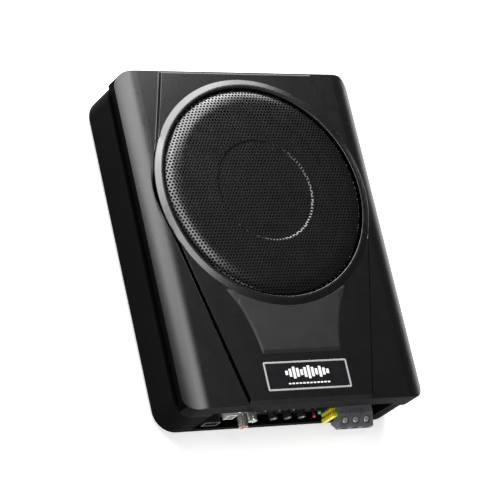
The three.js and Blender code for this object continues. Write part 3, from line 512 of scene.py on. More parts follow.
def cover_height(x, y):
    """Height of the cover's top over any place in plan."""
    end = min(y - CONNECTOR_END, FAR_END - y)
    height = roll_height(x)
    inset = min(inside_hexagon(x, y), FAR_END - END_LAND - y)
    chamfered = CHAMFER_LOW_Z + (PANEL_Z - CHAMFER_LOW_Z) * min((y - CONNECTOR_END) / CHAMFER, 1.0)
    if chamfered > height:
        height += (chamfered - height) * soft_step(inset, STEP_WIDTH)
    if TONGUE_END_Y < y < TONGUE_ROOT_Y and height > PANEL_Z - 0.5:
        side = soft_step(tongue_side(y) - abs(x), STEP_WIDTH)
        bevel = min((y - TONGUE_END_Y) / TONGUE_BEVEL, 1.0)
        root = soft_step((Vector((x, y)) - AXIS).length - RING_FOOT, TONGUE_ROUND)
        height += TONGUE_RISE * side * bevel * root
    height -= MOAT_DEPTH * moat(x, y)
    ring = ring_height(x, y)
    if ring > RING_FOOT_Z:
        height = ring
    height = max(height, ring)
    if end < EDGE_ROUND:
        fall = EDGE_ROUND - max(end, 0)
        height -= EDGE_ROUND - math.sqrt(max(EDGE_ROUND ** 2 - fall ** 2, 0))
    return height


def cover_lines():
    """Feature lines in plan that the cover's mesh must follow, as [points, closed]."""
    lines = []
    plan = rounded_rectangle(HALF_WIDTH, HALF_LENGTH, CORNER_RADIUS, 14)
    lines.append(([point + Vector((0, MIDDLE_Y)) for point in plan], True))
    reach = (CONNECTOR_END - CLEAR, FAR_END + CLEAR)
    for strip in range(ROLL_STRIPS):
        x = HALF_WIDTH - ROLL_WIDTH * (strip + 1) / ROLL_STRIPS
        lines += lengthwise(-x, reach) + lengthwise(x, reach)
    for share in (1 / 10, 1 / 3, 2 / 3, 1):
        for y in (CONNECTOR_END + share * EDGE_ROUND, FAR_END - share * EDGE_ROUND):
            lines.append(crosswise(HALF_WIDTH + CLEAR, y))
    for y in (CONNECTOR_END + CHAMFER - 0.3, CONNECTOR_END + CHAMFER + 0.1):
        lines.append(crosswise(HEX_NEAR.x + 5.5, y))
    for share in (0, 0.15, 0.35, 0.55, 0.75, 1):
        inset = share * STEP_WIDTH
        lines.append(crosswise(HEX_FAR.x + 2, HEX_FAR.y - inset))
        for side in (-1, 1):
            lines += hexagon_side(inset, side)
            lines.append((tongue_edge(inset, side), False))
    for y in (TONGUE_END_Y, TONGUE_END_Y + 0.15, TONGUE_END_Y + TONGUE_BEVEL):
        lines.append(crosswise(tongue_side(y), y))
    outside = [out for out, _ in RING_SECTION] + RING_MIDDLES
    outside += [MOAT_WIDTH * share for share in (0.25, 0.5, 0.75, 1)]
    return lines + [(circle(RING_RADIUS + out, RING_SIDES), True) for out in outside]


def crosswise(reach, y):
    return ([Vector((-reach, y)), Vector((reach, y))], False)


def circle(radius, sides):
    turns = (2 * math.pi * side / sides for side in range(sides))
    return [AXIS + radius * Vector((math.cos(turn), math.sin(turn))) for turn in turns]


def lengthwise(x, reach):
    """A line along the cover at a distance from its middle, broken where the ring stands."""
    if abs(x) >= RING_FOOT:
        return [([Vector((x, y)) for y in reach], False)]
    half = math.sqrt(RING_FOOT ** 2 - x ** 2)
    near = ([Vector((x, reach[0])), Vector((x, AXIS.y - half))], False)
    far = ([Vector((x, AXIS.y + half)), Vector((x, reach[1]))], False)
    return [near, far]


def hexagon_side(inset, side):
    """Lines parallel to the raised area's slanting sides, from the ring's foot to the ends."""
    lines = []
    reach = RING_RADIUS - inset
    for end_y, tangent in ((CONNECTOR_END - 1, LOWER_TANGENT), (FAR_END + 1, UPPER_TANGENT)):
        out = Vector((math.cos(tangent), math.sin(tangent)))
        along = Vector((-out.y, out.x)) * (1 if end_y > AXIS.y else -1)
        touch = AXIS + reach * out
        start = touch + along * math.sqrt(RING_FOOT ** 2 - reach ** 2)
        end = touch + along * (end_y - touch.y) / along.y
        lines.append(([Vector((side * point.x, point.y)) for point in (start, end)], False))
    return lines


def tongue_edge(inset, side):
    steps = 18
    length = TONGUE_ROOT_Y - 12 - TONGUE_END_Y
    rows = [TONGUE_END_Y + length * step / steps for step in range(steps + 1)]
    return [Vector((side * (tongue_side(y) - inset), y)) for y in rows]


def inside_plan(point):
    """True inside the cover's rounded outline."""
    x = abs(point.x) - (HALF_WIDTH - CORNER_RADIUS)
    y = abs(point.y - MIDDLE_Y) - (HALF_LENGTH - CORNER_RADIUS)
    if x <= 0 or y <= 0:
        return max(x, y) < CORNER_RADIUS
    return math.hypot(x, y) < CORNER_RADIUS


def triangulate(lines, keep):
    """Triangles that follow the lines, where keep says so of a triangle's middle."""
    points, edges = [], []
    for line, closed in lines:
        start = len(points)
        points += line
        edges += [(start + i, start + i + 1) for i in range(len(line) - 1)]
        if closed:
            edges.append((start + len(line) - 1, start))
    verts, _, faces, *_ = delaunay_2d_cdt(points, edges, [], 0, 0.004)
    chosen = []
    for face in faces:
        middle = sum((verts[i] for i in face), Vector((0, 0))) / len(face)
        if keep(middle):
            chosen.append(face)
    return verts, chosen


def extrude_boundary(bm, edges, move):
    made = bmesh.ops.extrude_edge_only(bm, edges=edges)["geom"]
    for vert in (item for item in made if isinstance(item, bmesh.types.BMVert)):
        vert.co = move(vert.co)
    return [item for item in made if isinstance(item, bmesh.types.BMEdge) and item.is_boundary]


def on_circle(co, radius, height):
    """The same bearing from the woofer's axis at another radius and height."""
    away = (co.xy - AXIS).normalized() * radius
    return Vector((away.x + AXIS.x, away.y + AXIS.y, height))


def close_underneath(bm, edges):
    """A flat underside between the skirt's lower edge and the woofer's bore."""
    verts = list({vert for edge in edges for vert in edge.verts})
    order = {vert: i for i, vert in enumerate(verts)}
    links = [(order[edge.verts[0]], order[edge.verts[1]]) for edge in edges]
    flat = [vert.co.xy for vert in verts]
    _, _, faces, source, *_ = delaunay_2d_cdt(flat, links, [], 0, 1e-6)
    for face in faces:
        corners = [verts[source[i][0]] for i in face if source[i]]
        if len(corners) != len(face):
            continue
        middle = sum((corner.co.xy for corner in corners), Vector((0, 0))) / len(corners)
        if (middle - AXIS).length > LEDGE_BORE * 0.9995 and inside_plan(middle):
            bm.faces.new(corners)


def top_cover():
    def wanted(middle):
        return inside_plan(middle) and (middle - AXIS).length > LIP_RADIUS * 0.9999

    verts, faces = triangulate(cover_lines(), wanted)
    bm = bmesh.new()
    made = {}
    for i in {i for face in faces for i in face}:
        made[i] = bm.verts.new((verts[i].x, verts[i].y, cover_height(verts[i].x, verts[i].y)))
    for face in faces:
        bm.faces.new([made[i] for i in face])
    rim = [edge for edge in bm.edges if edge.is_boundary]
    outer = [e for e in rim if (e.verts[0].co.xy - AXIS).length > LIP_RADIUS + 0.5]
    inner = [e for e in rim if (e.verts[0].co.xy - AXIS).length <= LIP_RADIUS + 0.5]
    outer = extrude_boundary(bm, outer, lambda co: Vector((co.x, co.y, min(co.z, ARRIS_Z) - 0.05)))
    limit = HALF_WIDTH - SKIRT_LEAN
    outer = extrude_boundary(
        bm, outer, lambda co: Vector((min(max(co.x, -limit), limit), co.y, SEAM_Z)))
    inner = extrude_boundary(bm, inner, lambda co: on_circle(co, LIP_RADIUS, LEDGE_Z))
    inner = extrude_boundary(bm, inner, lambda co: on_circle(co, LEDGE_BORE, LEDGE_Z))
    inner = extrude_boundary(bm, inner, lambda co: on_circle(co, LEDGE_BORE, SEAM_Z))
    close_underneath(bm, outer + inner)
    mesh = bmesh_to_mesh("cover", bm, COVER_SHARP_DEGREES)
    obj = add_object("cover", mesh, "casing", replaces=["top_cover"])
    badge_low, badge_high = span("badge_frame")
    seat = block_mesh(
        (badge_low.x - GAP, badge_low.y - GAP, badge_low.z - GAP),
        (badge_high.x + GAP, badge_high.y + GAP, badge_high.z + CLEAR))
    mouth = block_mesh(
        (PANEL_LOW.x - GAP, CONNECTOR_END - CLEAR, SEAM_Z - CLEAR),
        (PANEL_HIGH.x + GAP, PANEL_HIGH.y + 2 * CLEAR, PANEL_HIGH.z + GAP))
    carve(obj, seat, mouth)
    finish_by_face(obj)
    even_normals(obj)


def cover_finish(x, y, normal):
    """The finish of the cover at a place: skirt, lip, moat and lower flanks are the dullest and darkest,
    which is painted shade; front faces and the front chamfer are lighter, which is painted light; the tongue
    is grained.
    """
    away = (Vector((x, y)) - AXIS).length
    # upright front faces: painted light, a lighter colour
    if normal.y < -0.6 and normal.z < 0.3:
        return "casing_front_painted_light"
    # faces slanting to the front, such as the chamfer: a lighter colour, which is painted light
    if normal.y < -0.45 and normal.z > 0.3:
        return "casing_grain_and_painted_light"
    # skirt, side walls and the lip round the grille: painted shade, a darker colour
    if normal.z < 0.2 or away < LIP_RADIUS + 0.4:
        return "casing_painted_shade"
    if away < RING_RADIUS + 0.1:
        return "casing_ring"
    # the moat at the ring's foot: painted shade
    if moat(x, y) > 0.3:
        return "casing_painted_shade"
    # the raised area's lower flanks: painted shade
    flank = 0 < inside_hexagon(x, y) < STEP_WIDTH and normal.z < 0.93
    if flank and y < AXIS.y:
        return "casing_painted_shade"
    if TONGUE_END_Y < y < TONGUE_ROOT_Y and abs(x) < tongue_side(y):
        return "casing_grain_and_painted_light"
    return "casing"


def finish_by_face(obj):
    slots = ["casing", "casing_painted_shade", "casing_grain_and_painted_light", "casing_front_painted_light", "casing_ring"]
    for name in slots[1:]:
        obj.data.materials.append(MATERIALS[name])
    for face in obj.data.polygons:
        x, y, _ = face.center / MM
        face.material_index = slots.index(cover_finish(x, y, face.normal))


# ---- The base shell ----
BASE_CORNER = 20.0
BASE_FOOT_ROUND = 2.4


def base_shell():
    """A tub with a rounded foot edge and a rolled rim."""
    half_x = BASE_HIGH.x
    half_y = (BASE_HIGH.y - BASE_LOW.y) / 2
    low, top = BASE_LOW.z, BASE_HIGH.z
    foot = []
    for step in range(7):
        angle = math.pi / 2 * step / 6
        inset = BASE_FOOT_ROUND * (1 - math.sin(angle))
        foot.append((inset, low + BASE_FOOT_ROUND * (1 - math.cos(angle))))
    profile = [
        *foot, (0.0, top - 0.9), (0.12, top - 0.45), (0.35, top - 0.15), (0.8, top),
        (WALL - 0.3, top), (WALL, top - 0.3), (WALL, low + WALL + 1), (WALL + 1, low + WALL),
    ]
    bm = bmesh.new()
    place = upright_at(0, MIDDLE_Y)
    loops = []
    for inset, height in profile:
        plan = rounded_rectangle(half_x - inset, half_y - inset, BASE_CORNER - inset, 16)
        loops.append([place @ Vector((point.x, point.y, height)) for point in plan])
    rings = skin_loops(bm, loops)
    bm.faces.new(rings[0][::-1])
    bm.faces.new(rings[-1])
    mesh = bmesh_to_mesh("base", bm, COVER_SHARP_DEGREES)
    return add_object("base", mesh, "casing", replaces=["base_shell"], look="casing_base")


def pocket_walls(base):
    """The thick frame round the control panel, joined to the tub, then the pocket cut out."""
    thick_frame = block_mesh(
        (PANEL_LOW.x - WALL, CONNECTOR_END + 1, BASE_LOW.z + 0.5),
        (PANEL_HIGH.x + WALL, PANEL_HIGH.y + 4, BASE_HIGH.z))
    combine(base, thick_frame, "UNION")
    mouth = block_mesh(
        (PANEL_LOW.x, CONNECTOR_END - CLEAR, PANEL_LOW.z - GAP),
        (PANEL_HIGH.x, PANEL_FACE, BASE_HIGH.z + CLEAR))
    slot = block_mesh(
        (PANEL_LOW.x - GAP, PANEL_FACE - GAP, PANEL_LOW.z - GAP),
        (PANEL_HIGH.x + GAP, PANEL_HIGH.y + GAP, BASE_HIGH.z + CLEAR))
    seat = block_mesh(
        (PANEL_LOW.x + 2, PANEL_FACE - 1, PANEL_LOW.z + 2.7),
        (PANEL_HIGH.x - 2, PANEL_HIGH.y + 12, BASE_HIGH.z + CLEAR))
    carve(base, mouth, slot, seat)
    even_normals(base)


# ---- The grille ----
HOLE_PITCH = 3.3
HOLE_RADIUS = 1.15
HOLE_CORNERS = 12
SKIN = 1.1
DISC_RADIUS = 48.6
DISC_DEPTH = 1.0
DISC_EDGE_WIDTH = 1.2
DOME_WIDTH = 17.0
DOME_DROP = 6.6
RIM_HEIGHT = 2.5


def grille_section():
    """Radius and height down the grille's outside, as a fine line from the middle to the rim."""
    top, rim = GRILLE_HIGH.z, GRILLE_HIGH.x
    points = [(0.0, top - DISC_DEPTH)]
    for step in range(9):
        radius = DISC_RADIUS + DISC_EDGE_WIDTH * (step / 8 - 0.5)
        points.append((radius, top - DISC_DEPTH * (1 - soft_step(step, 8))))
    for step in range(25):
        angle = math.pi / 2 * step / 24
        radius = rim - DOME_WIDTH * (1 - math.sin(angle))
        points.append((radius, top - DOME_DROP * (1 - math.cos(angle))))
    points.append((rim, GRILLE_LOW.z))
    return points


def along_section(points):
    """A function from distance along the section to its radius and height."""
    lengths = [0.0]
    for first, second in zip(points, points[1:]):
        lengths.append(lengths[-1] + math.dist(first, second))

    def at(distance):
        i = 1
        while i < len(points) - 1 and distance > lengths[i]:
            i += 1
        share = (distance - lengths[i - 1]) / max(lengths[i] - lengths[i - 1], 1e-9)
        (radius, height), (next_radius, next_height) = points[i - 1:i + 1]
        share = min(share, 1.0)
        return radius + share * (next_radius - radius), height + share * (next_height - height)

    return at, lengths[-1]


def grille():
    """A sheet punched with round holes in a close-packed pattern, then pressed into a dome."""
    at, length = along_section(grille_section())
    bm = bmesh.new()
    row_height = HOLE_PITCH * math.sqrt(3) / 2
    corner = HOLE_PITCH / math.sqrt(3)
    rows = int(length / row_height) + 1
    columns = int(length / HOLE_PITCH) + 1
    bend_start = length - HOLE_PITCH * 0.8

    def pressed(point):
        distance = point.length
        radius, height = at(distance)
        out = point.normalized() if distance > 1e-6 else Vector((1, 0))
        return Vector((AXIS.x + out.x * radius, AXIS.y + out.y * radius, height))

    for row in range(-rows, rows + 1):
        shift = HOLE_PITCH / 2 if row % 2 else 0
        for column in range(-columns, columns + 1):
            centre = Vector((column * HOLE_PITCH + shift, row * row_height))
            if centre.length > bend_start:
                continue
            hole, cell = [], []
            for side in range(HOLE_CORNERS):
                angle = math.pi / 6 + side * 2 * math.pi / HOLE_CORNERS
                out = Vector((math.cos(angle), math.sin(angle)))
                reach = corner if side % 2 == 0 else HOLE_PITCH / 2
                hole.append(bm.verts.new(pressed(centre + HOLE_RADIUS * out)))
                cell.append(bm.verts.new(pressed(centre + reach * out)))
            for i in range(HOLE_CORNERS):
                j = (i + 1) % HOLE_CORNERS
                bm.faces.new((hole[i], cell[i], cell[j], hole[j]))
    bmesh.ops.remove_doubles(bm, verts=bm.verts, dist=0.02)
    bmesh.ops.recalc_face_normals(bm, faces=bm.faces)
    top_face = max(bm.faces, key=lambda face: face.calc_center_median().z)
    if top_face.normal.z < 0:
        bmesh.ops.reverse_faces(bm, faces=bm.faces)
    bmesh.ops.solidify(bm, geom=bm.faces[:] + bm.edges[:] + bm.verts[:], thickness=SKIN)
    rim = GRILLE_HIGH.x
    lathe(bm, [
        (rim, GRILLE_LOW.z), (rim, GRILLE_LOW.z + RIM_HEIGHT),
        (rim - SKIN, GRILLE_LOW.z + RIM_HEIGHT), (rim - SKIN, GRILLE_LOW.z),
    ], upright_at(AXIS.x, AXIS.y), 120)
    mesh = bmesh_to_mesh("grille_mesh", bm, 40)
    add_object("grille_mesh", mesh, "grille", replaces=["grille"])


# ---- The badge ----
BAR_HEIGHTS = (4.0, 7.4, 11.0, 8.2, 5.4, 9.2, 12.0, 8.8, 5.8, 10.0, 6.6, 4.2)
BAR_PITCH = 3.9
BAR_WIDTH = 2.7
BAR_RISE = 2.6  # from the badge's middle up to the bars' middle line
DASH_PITCH = 3.7
DASH_SIZE = (2.6, 1.3)
DASH_FALL = 7.4  # from the badge's middle down to the dashes


def badge():
    """A silver rim round a glossy black plate, with equaliser bars over a row of dashes."""
    low, high = span("badge_frame")
    middle = (low + high) / 2
    half_x, half_y, _ = (high - low) / 2
    place = upright_at(middle.x, middle.y)
    bm = bmesh.new()
    top = high.z
    frame_sweep(bm, half_x, half_y, 1.6, [
        (0.0, low.z), (0.0, top - 0.2), (0.06, top - 0.06), (0.2, top), (1.4, top),
        (1.54, top - 0.06), (1.6, top - 0.2), (1.6, low.z),
    ], place)
    new_piece("badge_rim", bm, "badge_silver", replaces=["badge_frame"], sharp_degrees=50)
    low, high = span("badge_field")
    half_x, half_y, _ = (high - low) / 2
    bm = bmesh.new()
    capped_sweep(bm, half_x, half_y, 0.8, [
        (0.0, low.z), (0.0, high.z - 0.15), (0.15, high.z),
    ], place)
    new_piece("badge_plate", bm, "badge_black", replaces=["badge_field"])
    bm = bmesh.new()
    for n, height in enumerate(BAR_HEIGHTS):
        centred = n - (len(BAR_HEIGHTS) - 1) / 2
        bar = upright_at(middle.x + centred * BAR_PITCH, middle.y + BAR_RISE)
        raised_tile(bm, bar, BAR_WIDTH, height, high.z)
        dash = upright_at(middle.x + centred * DASH_PITCH, middle.y - DASH_FALL)
        raised_tile(bm, dash, *DASH_SIZE, high.z)
    new_piece("badge_motif", bm, "badge_silver", look="print_white")


def raised_tile(bm, place, width, height, z):
    capped_sweep(bm, width / 2, height / 2, 0.25, [
        (0.0, z - 0.05), (0.0, z + 0.1), (0.08, z + 0.16),
    ], place)


# ---- Connector panel ----
KNOBS = ("gain", "crossover", "bass_boost")
JACK_RADIUS = 4.15
KNOB_TEETH = 20
KNOB_TOOTH_DEPTH = 0.045  # as a share of the knob's radius
COLLAR_STEP = 2.4  # from a lamp's tip back to its collar


def panel_fitting(node):
    """A fitting's place on the panel, its radius, and how far its back and front stand out."""
    low, high = span(node)
    middle = (low + high) / 2
    place = facing_out(middle.x, PANEL_FACE, middle.z)
    return place, (high.x - low.x) / 2, PANEL_FACE - high.y, PANEL_FACE - low.y


def input_jack(word, insulator_slot):
    radius = JACK_RADIUS
    place, flange, back, reach = panel_fitting(f"input_jack_{word}")
    bm = bmesh.new()
    lathe(bm, [
        (radius - 0.5, back), (radius, back), (radius, 0.3), (flange - 0.25, 0.3), (flange, 0.55),
        (flange, 1.9), (flange - 0.3, 2.25), (radius + 0.25, 2.3), (radius, 2.6),
        (radius, reach - 3.0), (radius - 0.14, reach - 2.8), (radius - 0.14, reach - 2.3),
        (radius, reach - 2.1), (radius, reach - 0.35), (radius - 0.12, reach - 0.08),
        (radius - 0.3, reach), (radius - 0.5, reach - 0.2),
    ], place, 48)
    new_piece(f"jack_barrel_{word}", bm, "nickel", replaces=[f"input_jack_{word}"])
    _, outer, back, reach = panel_fitting(f"jack_insulator_{word}")
    bm = bmesh.new()
    lathe(bm, [
        (0.0, back), (outer, back), (outer, reach - 0.3), (outer - 0.3, reach), (2.3, reach),
        (1.6, reach - 0.5), (1.6, 1.0), (0.0, 1.0),
    ], place, 48)
    new_piece(f"jack_core_{word}", bm, insulator_slot, replaces=[f"jack_insulator_{word}"])


def knob(word):
    """A fluted cap over a plain skirt, with a raised white pointer."""
    place, radius, back, reach = panel_fitting(f"{word}_knob")
    body = f"{word}_control"
    bm = bmesh.new()
    lathe(bm, [
        (0.0, back), (1.7, back), (1.7, 1.05), (radius * 0.9, 1.05), (radius, 1.3),
        (radius, 2.2), (radius * 0.97, 2.4),
    ], place, 60)
    lathe(bm, [
        (0.0, 2.0), (radius * 0.9, 2.0), (radius * 0.94, 2.2), (radius * 0.9, reach - 0.6),
        (radius * 0.84, reach - 0.15), (radius * 0.72, reach), (radius * 0.5, reach - 0.12),
        (0.0, reach - 0.15),
    ], place, 120, lambda turn: 1 - KNOB_TOOTH_DEPTH * (0.5 + 0.5 * math.cos(KNOB_TEETH * turn)))
    new_piece(f"{word}_cap", bm, "black_plastic", body, [f"{word}_knob"])
    bm = bmesh.new()
    capped_sweep(bm, 0.35, radius * 0.38, 0.12, [
        (0.0, reach - 0.35), (0.0, reach - 0.02), (0.08, reach),
    ], place @ Matrix.Translation((0, radius * 0.45, 0)))
    new_piece(f"{word}_pointer", bm, "white_plastic", body, look="print_white")


def lamp(node, slot):
    """A round-nosed lens in a black collar."""
    place, radius, back, reach = panel_fitting(node)
    dome = []
    for step in range(8):
        angle = math.pi / 2 * step / 8
        dome.append((radius * math.cos(angle), reach - radius * (1 - math.sin(angle))))
    collar = reach - COLLAR_STEP
    bm = bmesh.new()
    lathe(bm, [(0.0, collar - 1), (radius * 0.9, collar - 1), *dome, (0.0, reach)], place, 32)
    new_piece(f"{node}_lens", bm, slot, replaces=[node])
    bm = bmesh.new()
    lathe(bm, [
        (0.0, back), (radius, back), (radius, collar - 0.3), (radius * 0.94, collar),
        (radius * 0.8, collar), (radius * 0.8, collar - 0.9), (0.0, collar - 0.9),
    ], place, 32)
    new_piece(f"{node}_collar", bm, "black_plastic")


def arc_line(bm, place, radius, start, end, width, height):
    """A flat printed arc, from one bearing in degrees to another."""
    steps = max(int(abs(end - start) / 9), 1)
    inner, outer = [], []
    for step in range(steps + 1):
        angle = math.radians(start + (end - start) * step / steps)
        out = Vector((math.cos(angle), math.sin(angle), 0))
        for reach, row in ((radius - width / 2, inner), (radius + width / 2, outer)):
            spot = out * reach
            row.append(bm.verts.new(place @ Vector((spot.x, spot.y, height))))
    for i in range(steps):
        bm.faces.new((inner[i], outer[i], outer[i + 1], inner[i + 1]))


def straight_line(bm, place, start, end, width, height):
    first, second = Vector(start), Vector(end)
    across = Vector((-(second - first).y, (second - first).x)).normalized() * width / 2
    corners = (first - across, second - across, second + across, first + across)
    bm.faces.new([bm.verts.new(place @ Vector((c.x, c.y, height))) for c in corners])


DIAL_START = -50  # degrees
DIAL_SWEEP = 280
DIAL_TICKS = 5
DIAL_GAP = 1.3  # between a knob and its scale, and a tick's length
PRINT_LINE = 0.4
PRINT_LIFT = 0.04
SWITCH_BOX = (5.4, 3.0)  # half its size
SWITCH_BOX_IN = 7.0  # from the switch body's edge to the box's middle


def panel_print():
    """Flat printed marks: a dial scale round each knob and a box round the phase switch."""
    bm = bmesh.new()
    for word in KNOBS:
        place, radius, _, _ = panel_fitting(f"{word}_knob")
        radius += DIAL_GAP
        arc_line(bm, place, radius, DIAL_START, DIAL_START + DIAL_SWEEP, PRINT_LINE, PRINT_LIFT)
        for tick in range(DIAL_TICKS):
            angle = math.radians(DIAL_START + DIAL_SWEEP * tick / (DIAL_TICKS - 1))
            out = Vector((math.cos(angle), math.sin(angle)))
            ends = (out * radius, out * (radius + DIAL_GAP))
            straight_line(bm, place, *ends, PRINT_LINE, PRINT_LIFT)
    low, high = span("phase_switch_slider")
    box_x = span("phase_switch_body")[0].x + SWITCH_BOX_IN
    place = facing_out(box_x, PANEL_FACE, (low.z + high.z) / 2)
    x, y = SWITCH_BOX
    corners = [(-x, -y), (x, -y), (x, y), (-x, y)]
    for first, second in zip(corners, corners[1:] + corners[:1]):
        straight_line(bm, place, first, second, PRINT_LINE, PRINT_LIFT)
    new_piece("panel_print", bm, "white_plastic", look="print_white")


# ---- Clamp screws and fuse ----
CLAMP_SLOPE = math.radians(20)
CLAMP_HEAD = 3.2  # from the CAD head's edge to its middle
CROSS_LENGTH = 3.6
CROSS_WIDTH = 0.85
CROSS_DEPTH = 0.75


def terminal_screw(number):
    """A pan head with a deep cross, sunk in its sloping well."""
    low, high = span(f"terminal_screw_{number}")
    head_y = low.y + CLAMP_HEAD * math.cos(CLAMP_SLOPE) + 0.12
    head_z = high.z - CLAMP_HEAD * math.sin(CLAMP_SLOPE) - 0.1
    turn = Matrix.Rotation(CLAMP_SLOPE, 4, "X")
    place = Matrix.Translation(((low.x + high.x) / 2, head_y, head_z)) @ turn
    bm = bmesh.new()
    lathe(bm, [
        (0.0, -2.6), (1.7, -2.6), (1.7, -1.3), (2.75, -1.3), (2.85, -1.0), (2.8, -0.35),
        (2.6, -0.12), (2.2, 0.0), (0.0, 0.04),
    ], place, 40)
    mesh = bmesh_to_mesh(f"clamp_screw_{number}", bm)
    obj = add_object(f"clamp_screw_{number}", mesh, "steel", f"terminal_clamp_{number}",
                     [f"terminal_screw_{number}"], "plated_screw")
    cuts = []
    for x, y in ((CROSS_LENGTH / 2, CROSS_WIDTH / 2), (CROSS_WIDTH / 2, CROSS_LENGTH / 2)):
        cut = block_mesh((-x, -y, -CROSS_DEPTH), (x, y, 1))
        for step in (Matrix.Scale(1 / MM, 4), place, Matrix.Scale(MM, 4)):
            cut.transform(step)
        cuts.append(cut)
    carve(obj, *cuts)
    even_normals(obj)


FUSE_HEAD = 3.4  # from the fuse's front to the middle of its windows
FUSE_WINDOW_HEIGHTS = (-6.4, -3.4, 3.4, 6.4)
FUSE_WINDOW_SIZE = (2.2, 0.9)
FUSE_ELEMENT_SIZE = (3.2, 0.6)


def fuse_window():
    """Dark test windows and the fuse element seen through the fuse's broad faces."""
    low, high = span("fuse")
    bm = bmesh.new()
    for x, out in ((low.x, -1), (high.x, 1)):
        turn = Matrix(((0, 0, out), (out, 0, 0), (0, 1, 0))).to_4x4()
        place = Matrix.Translation((x, low.y + FUSE_HEAD, (low.z + high.z) / 2)) @ turn
        for height in FUSE_WINDOW_HEIGHTS:
            tile_on(bm, place @ Matrix.Translation((0, height, 0)), *FUSE_WINDOW_SIZE)
        tile_on(bm, place, *FUSE_ELEMENT_SIZE)
    new_piece("fuse_windows", bm, "black_plastic", "fuse_unit")


def tile_on(bm, place, width, height):
    """A thin tile that stands just proud of a face."""
    section = [(0.0, -0.2), (0.0, 0.02), (0.05, 0.04)]
    capped_sweep(bm, width / 2, height / 2, 0.2, section, place)


# ---- Feet ----
def foot(number):
    low, high = span(f"foot_{number}")
    middle = (low + high) / 2
    radius = (high.x - low.x) / 2
    bm = bmesh.new()
    lathe(bm, [
        (0.0, low.z + 0.3), (radius - 3.2, low.z + 0.3), (radius - 2.8, low.z),
        (radius - 0.9, low.z), (radius - 0.5, low.z + 0.15), (radius - 0.3, low.z + 0.5),
        (radius, high.z), (0.0, high.z),
    ], upright_at(middle.x, middle.y), 48)
    new_piece(f"foot_pad_{number}", bm, "rubber", replaces=[f"foot_{number}"])


# ---- The woofer's soft rings ----
def flexing_ring(name, node, profile, material, inner, outer):
    """A round soft piece that moves with the cone at its inner radius and is held at its outer."""
    bm = bmesh.new()
    lathe(bm, profile, upright_at(AXIS.x, AXIS.y), 96)
    mesh = bmesh_to_mesh(name, bm, 50)
    obj = link_object(name, mesh)
    mesh.materials.append(MATERIALS[material])
    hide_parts(node)
    fixed = Vector((AXIS.x + outer, AXIS.y, 0)) * MM
    moving = Vector((AXIS.x + inner, AXIS.y, 0)) * MM
    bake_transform(obj, "enclosure", CONE_BODY, fixed, moving)
    weights = obj.data.attributes["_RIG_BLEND"].data
    for vertex, weight in zip(obj.data.vertices, weights):
        radius = (vertex.co.xy / MM - AXIS).length
        weight.value = soft_step(outer - radius, outer - inner)


def sheet_profile(points, thickness):
    """A closed section round a line of [radius, height] points, thickness below the line."""
    under = [(radius, height - thickness) for radius, height in reversed(points)]
    return [*points, *under]


SURROUND_THICKNESS = 0.9
SURROUND_INNER = 80.6
SURROUND_MIDDLE = 87.0  # the roll's crest
SPIDER_THICKNESS = 0.8
SPIDER_INNER = 20.2
SPIDER_ROLLS = 5


def surround():
    """A half-round rubber roll between a land on the cone's rim and a land on the basket."""
    low, high = span("surround")
    roll = high.z - low.z
    points = [(SURROUND_INNER, low.z + SURROUND_THICKNESS)]
    steps = 20
    for step in range(steps + 1):
        angle = math.pi - math.pi * step / steps
        rise = max(roll * math.sin(angle), SURROUND_THICKNESS)
        points.append((SURROUND_MIDDLE + roll * math.cos(angle), low.z + rise))
    points.append((high.x, low.z + SURROUND_THICKNESS))
    flexing_ring("surround_roll", "surround", sheet_profile(points, SURROUND_THICKNESS), "rubber",
                 SURROUND_MIDDLE - 3, SURROUND_MIDDLE + 3)


def spider():
    """A corrugated cloth disc from the voice coil to the basket's step."""
    low, high = span("spider")
    rise = high.z - low.z - SPIDER_THICKNESS
    steps = 60
    points = []
    for step in range(steps + 1):
        share = step / steps
        wave = (1 - math.cos(2 * math.pi * SPIDER_ROLLS * share)) / 2
        radius = SPIDER_INNER + (high.x - SPIDER_INNER) * share
        points.append((radius, low.z + SPIDER_THICKNESS + rise * wave))
    flexing_ring("spider_disc", "spider", sheet_profile(points, SPIDER_THICKNESS), "spider_cloth",
                 SPIDER_INNER + 2, high.x - 4)


# ---- CAD nodes that keep their shape ----
KEPT = {
    "black_steel": ["woofer_basket", *[f"woofer_screw_{n}" for n in (1, 2, 3, 4)]],
    "foam": ["woofer_gasket"],
    "zinc": ["back_plate", "front_plate"],
    "ferrite": ["magnet"],
    "copper": ["voice_coil", "toroid"],
    "paper": ["cone", "dust_cap"],
    "board_green": ["circuit_board"],
    "aluminium": ["heat_sink"],
    "black_plastic": [
        "capacitor_1", "capacitor_2", "high_level_socket", "phase_switch_slider", "fuse_holder",
    ],
    "panel_black": ["control_panel"],
    "steel": [
        "phase_switch_body", *[f"panel_screw_{n}" for n in (1, 2)],
        *[f"case_screw_{n}" for n in (1, 2, 3, 4)],
    ],
    "nickel": ["fuse_blade_1", "fuse_blade_2"],
    "white_plastic": ["remote_socket"],
    "fuse_yellow": ["fuse"],
    "terminal_grey": ["terminal_block"],
}
ROUND_OFF = {  # bevel widths in millimetres
    "terminal_block": 0.4, "fuse": 0.35, "fuse_holder": 0.3, "remote_socket": 0.3,
    "high_level_socket": 0.25, "control_panel": 0.15, "phase_switch_slider": 0.25,
    "heat_sink": 0.3, "capacitor_1": 0.8, "capacitor_2": 0.8, "toroid": 0.5,
    "panel_screw_1": 0.2, "panel_screw_2": 0.2, "circuit_board": 0.15, "magnet": 0.8,
    "back_plate": 0.5, "front_plate": 0.4, "woofer_basket": 0.3,
}


def dress_cad_nodes():
    for material, nodes in KEPT.items():
        for node in nodes:
            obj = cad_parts[node]
            obj.data.materials.clear()
            obj.data.materials.append(MATERIALS[material])
            if node in ROUND_OFF:
                bevel = obj.modifiers.new("rounded edges", "BEVEL")
                bevel.width = ROUND_OFF[node] * MM
                bevel.segments = 3
                bevel.limit_method = "ANGLE"
                bevel.angle_limit = math.radians(32)
                bevel.harden_normals = False
            even_normals(obj)


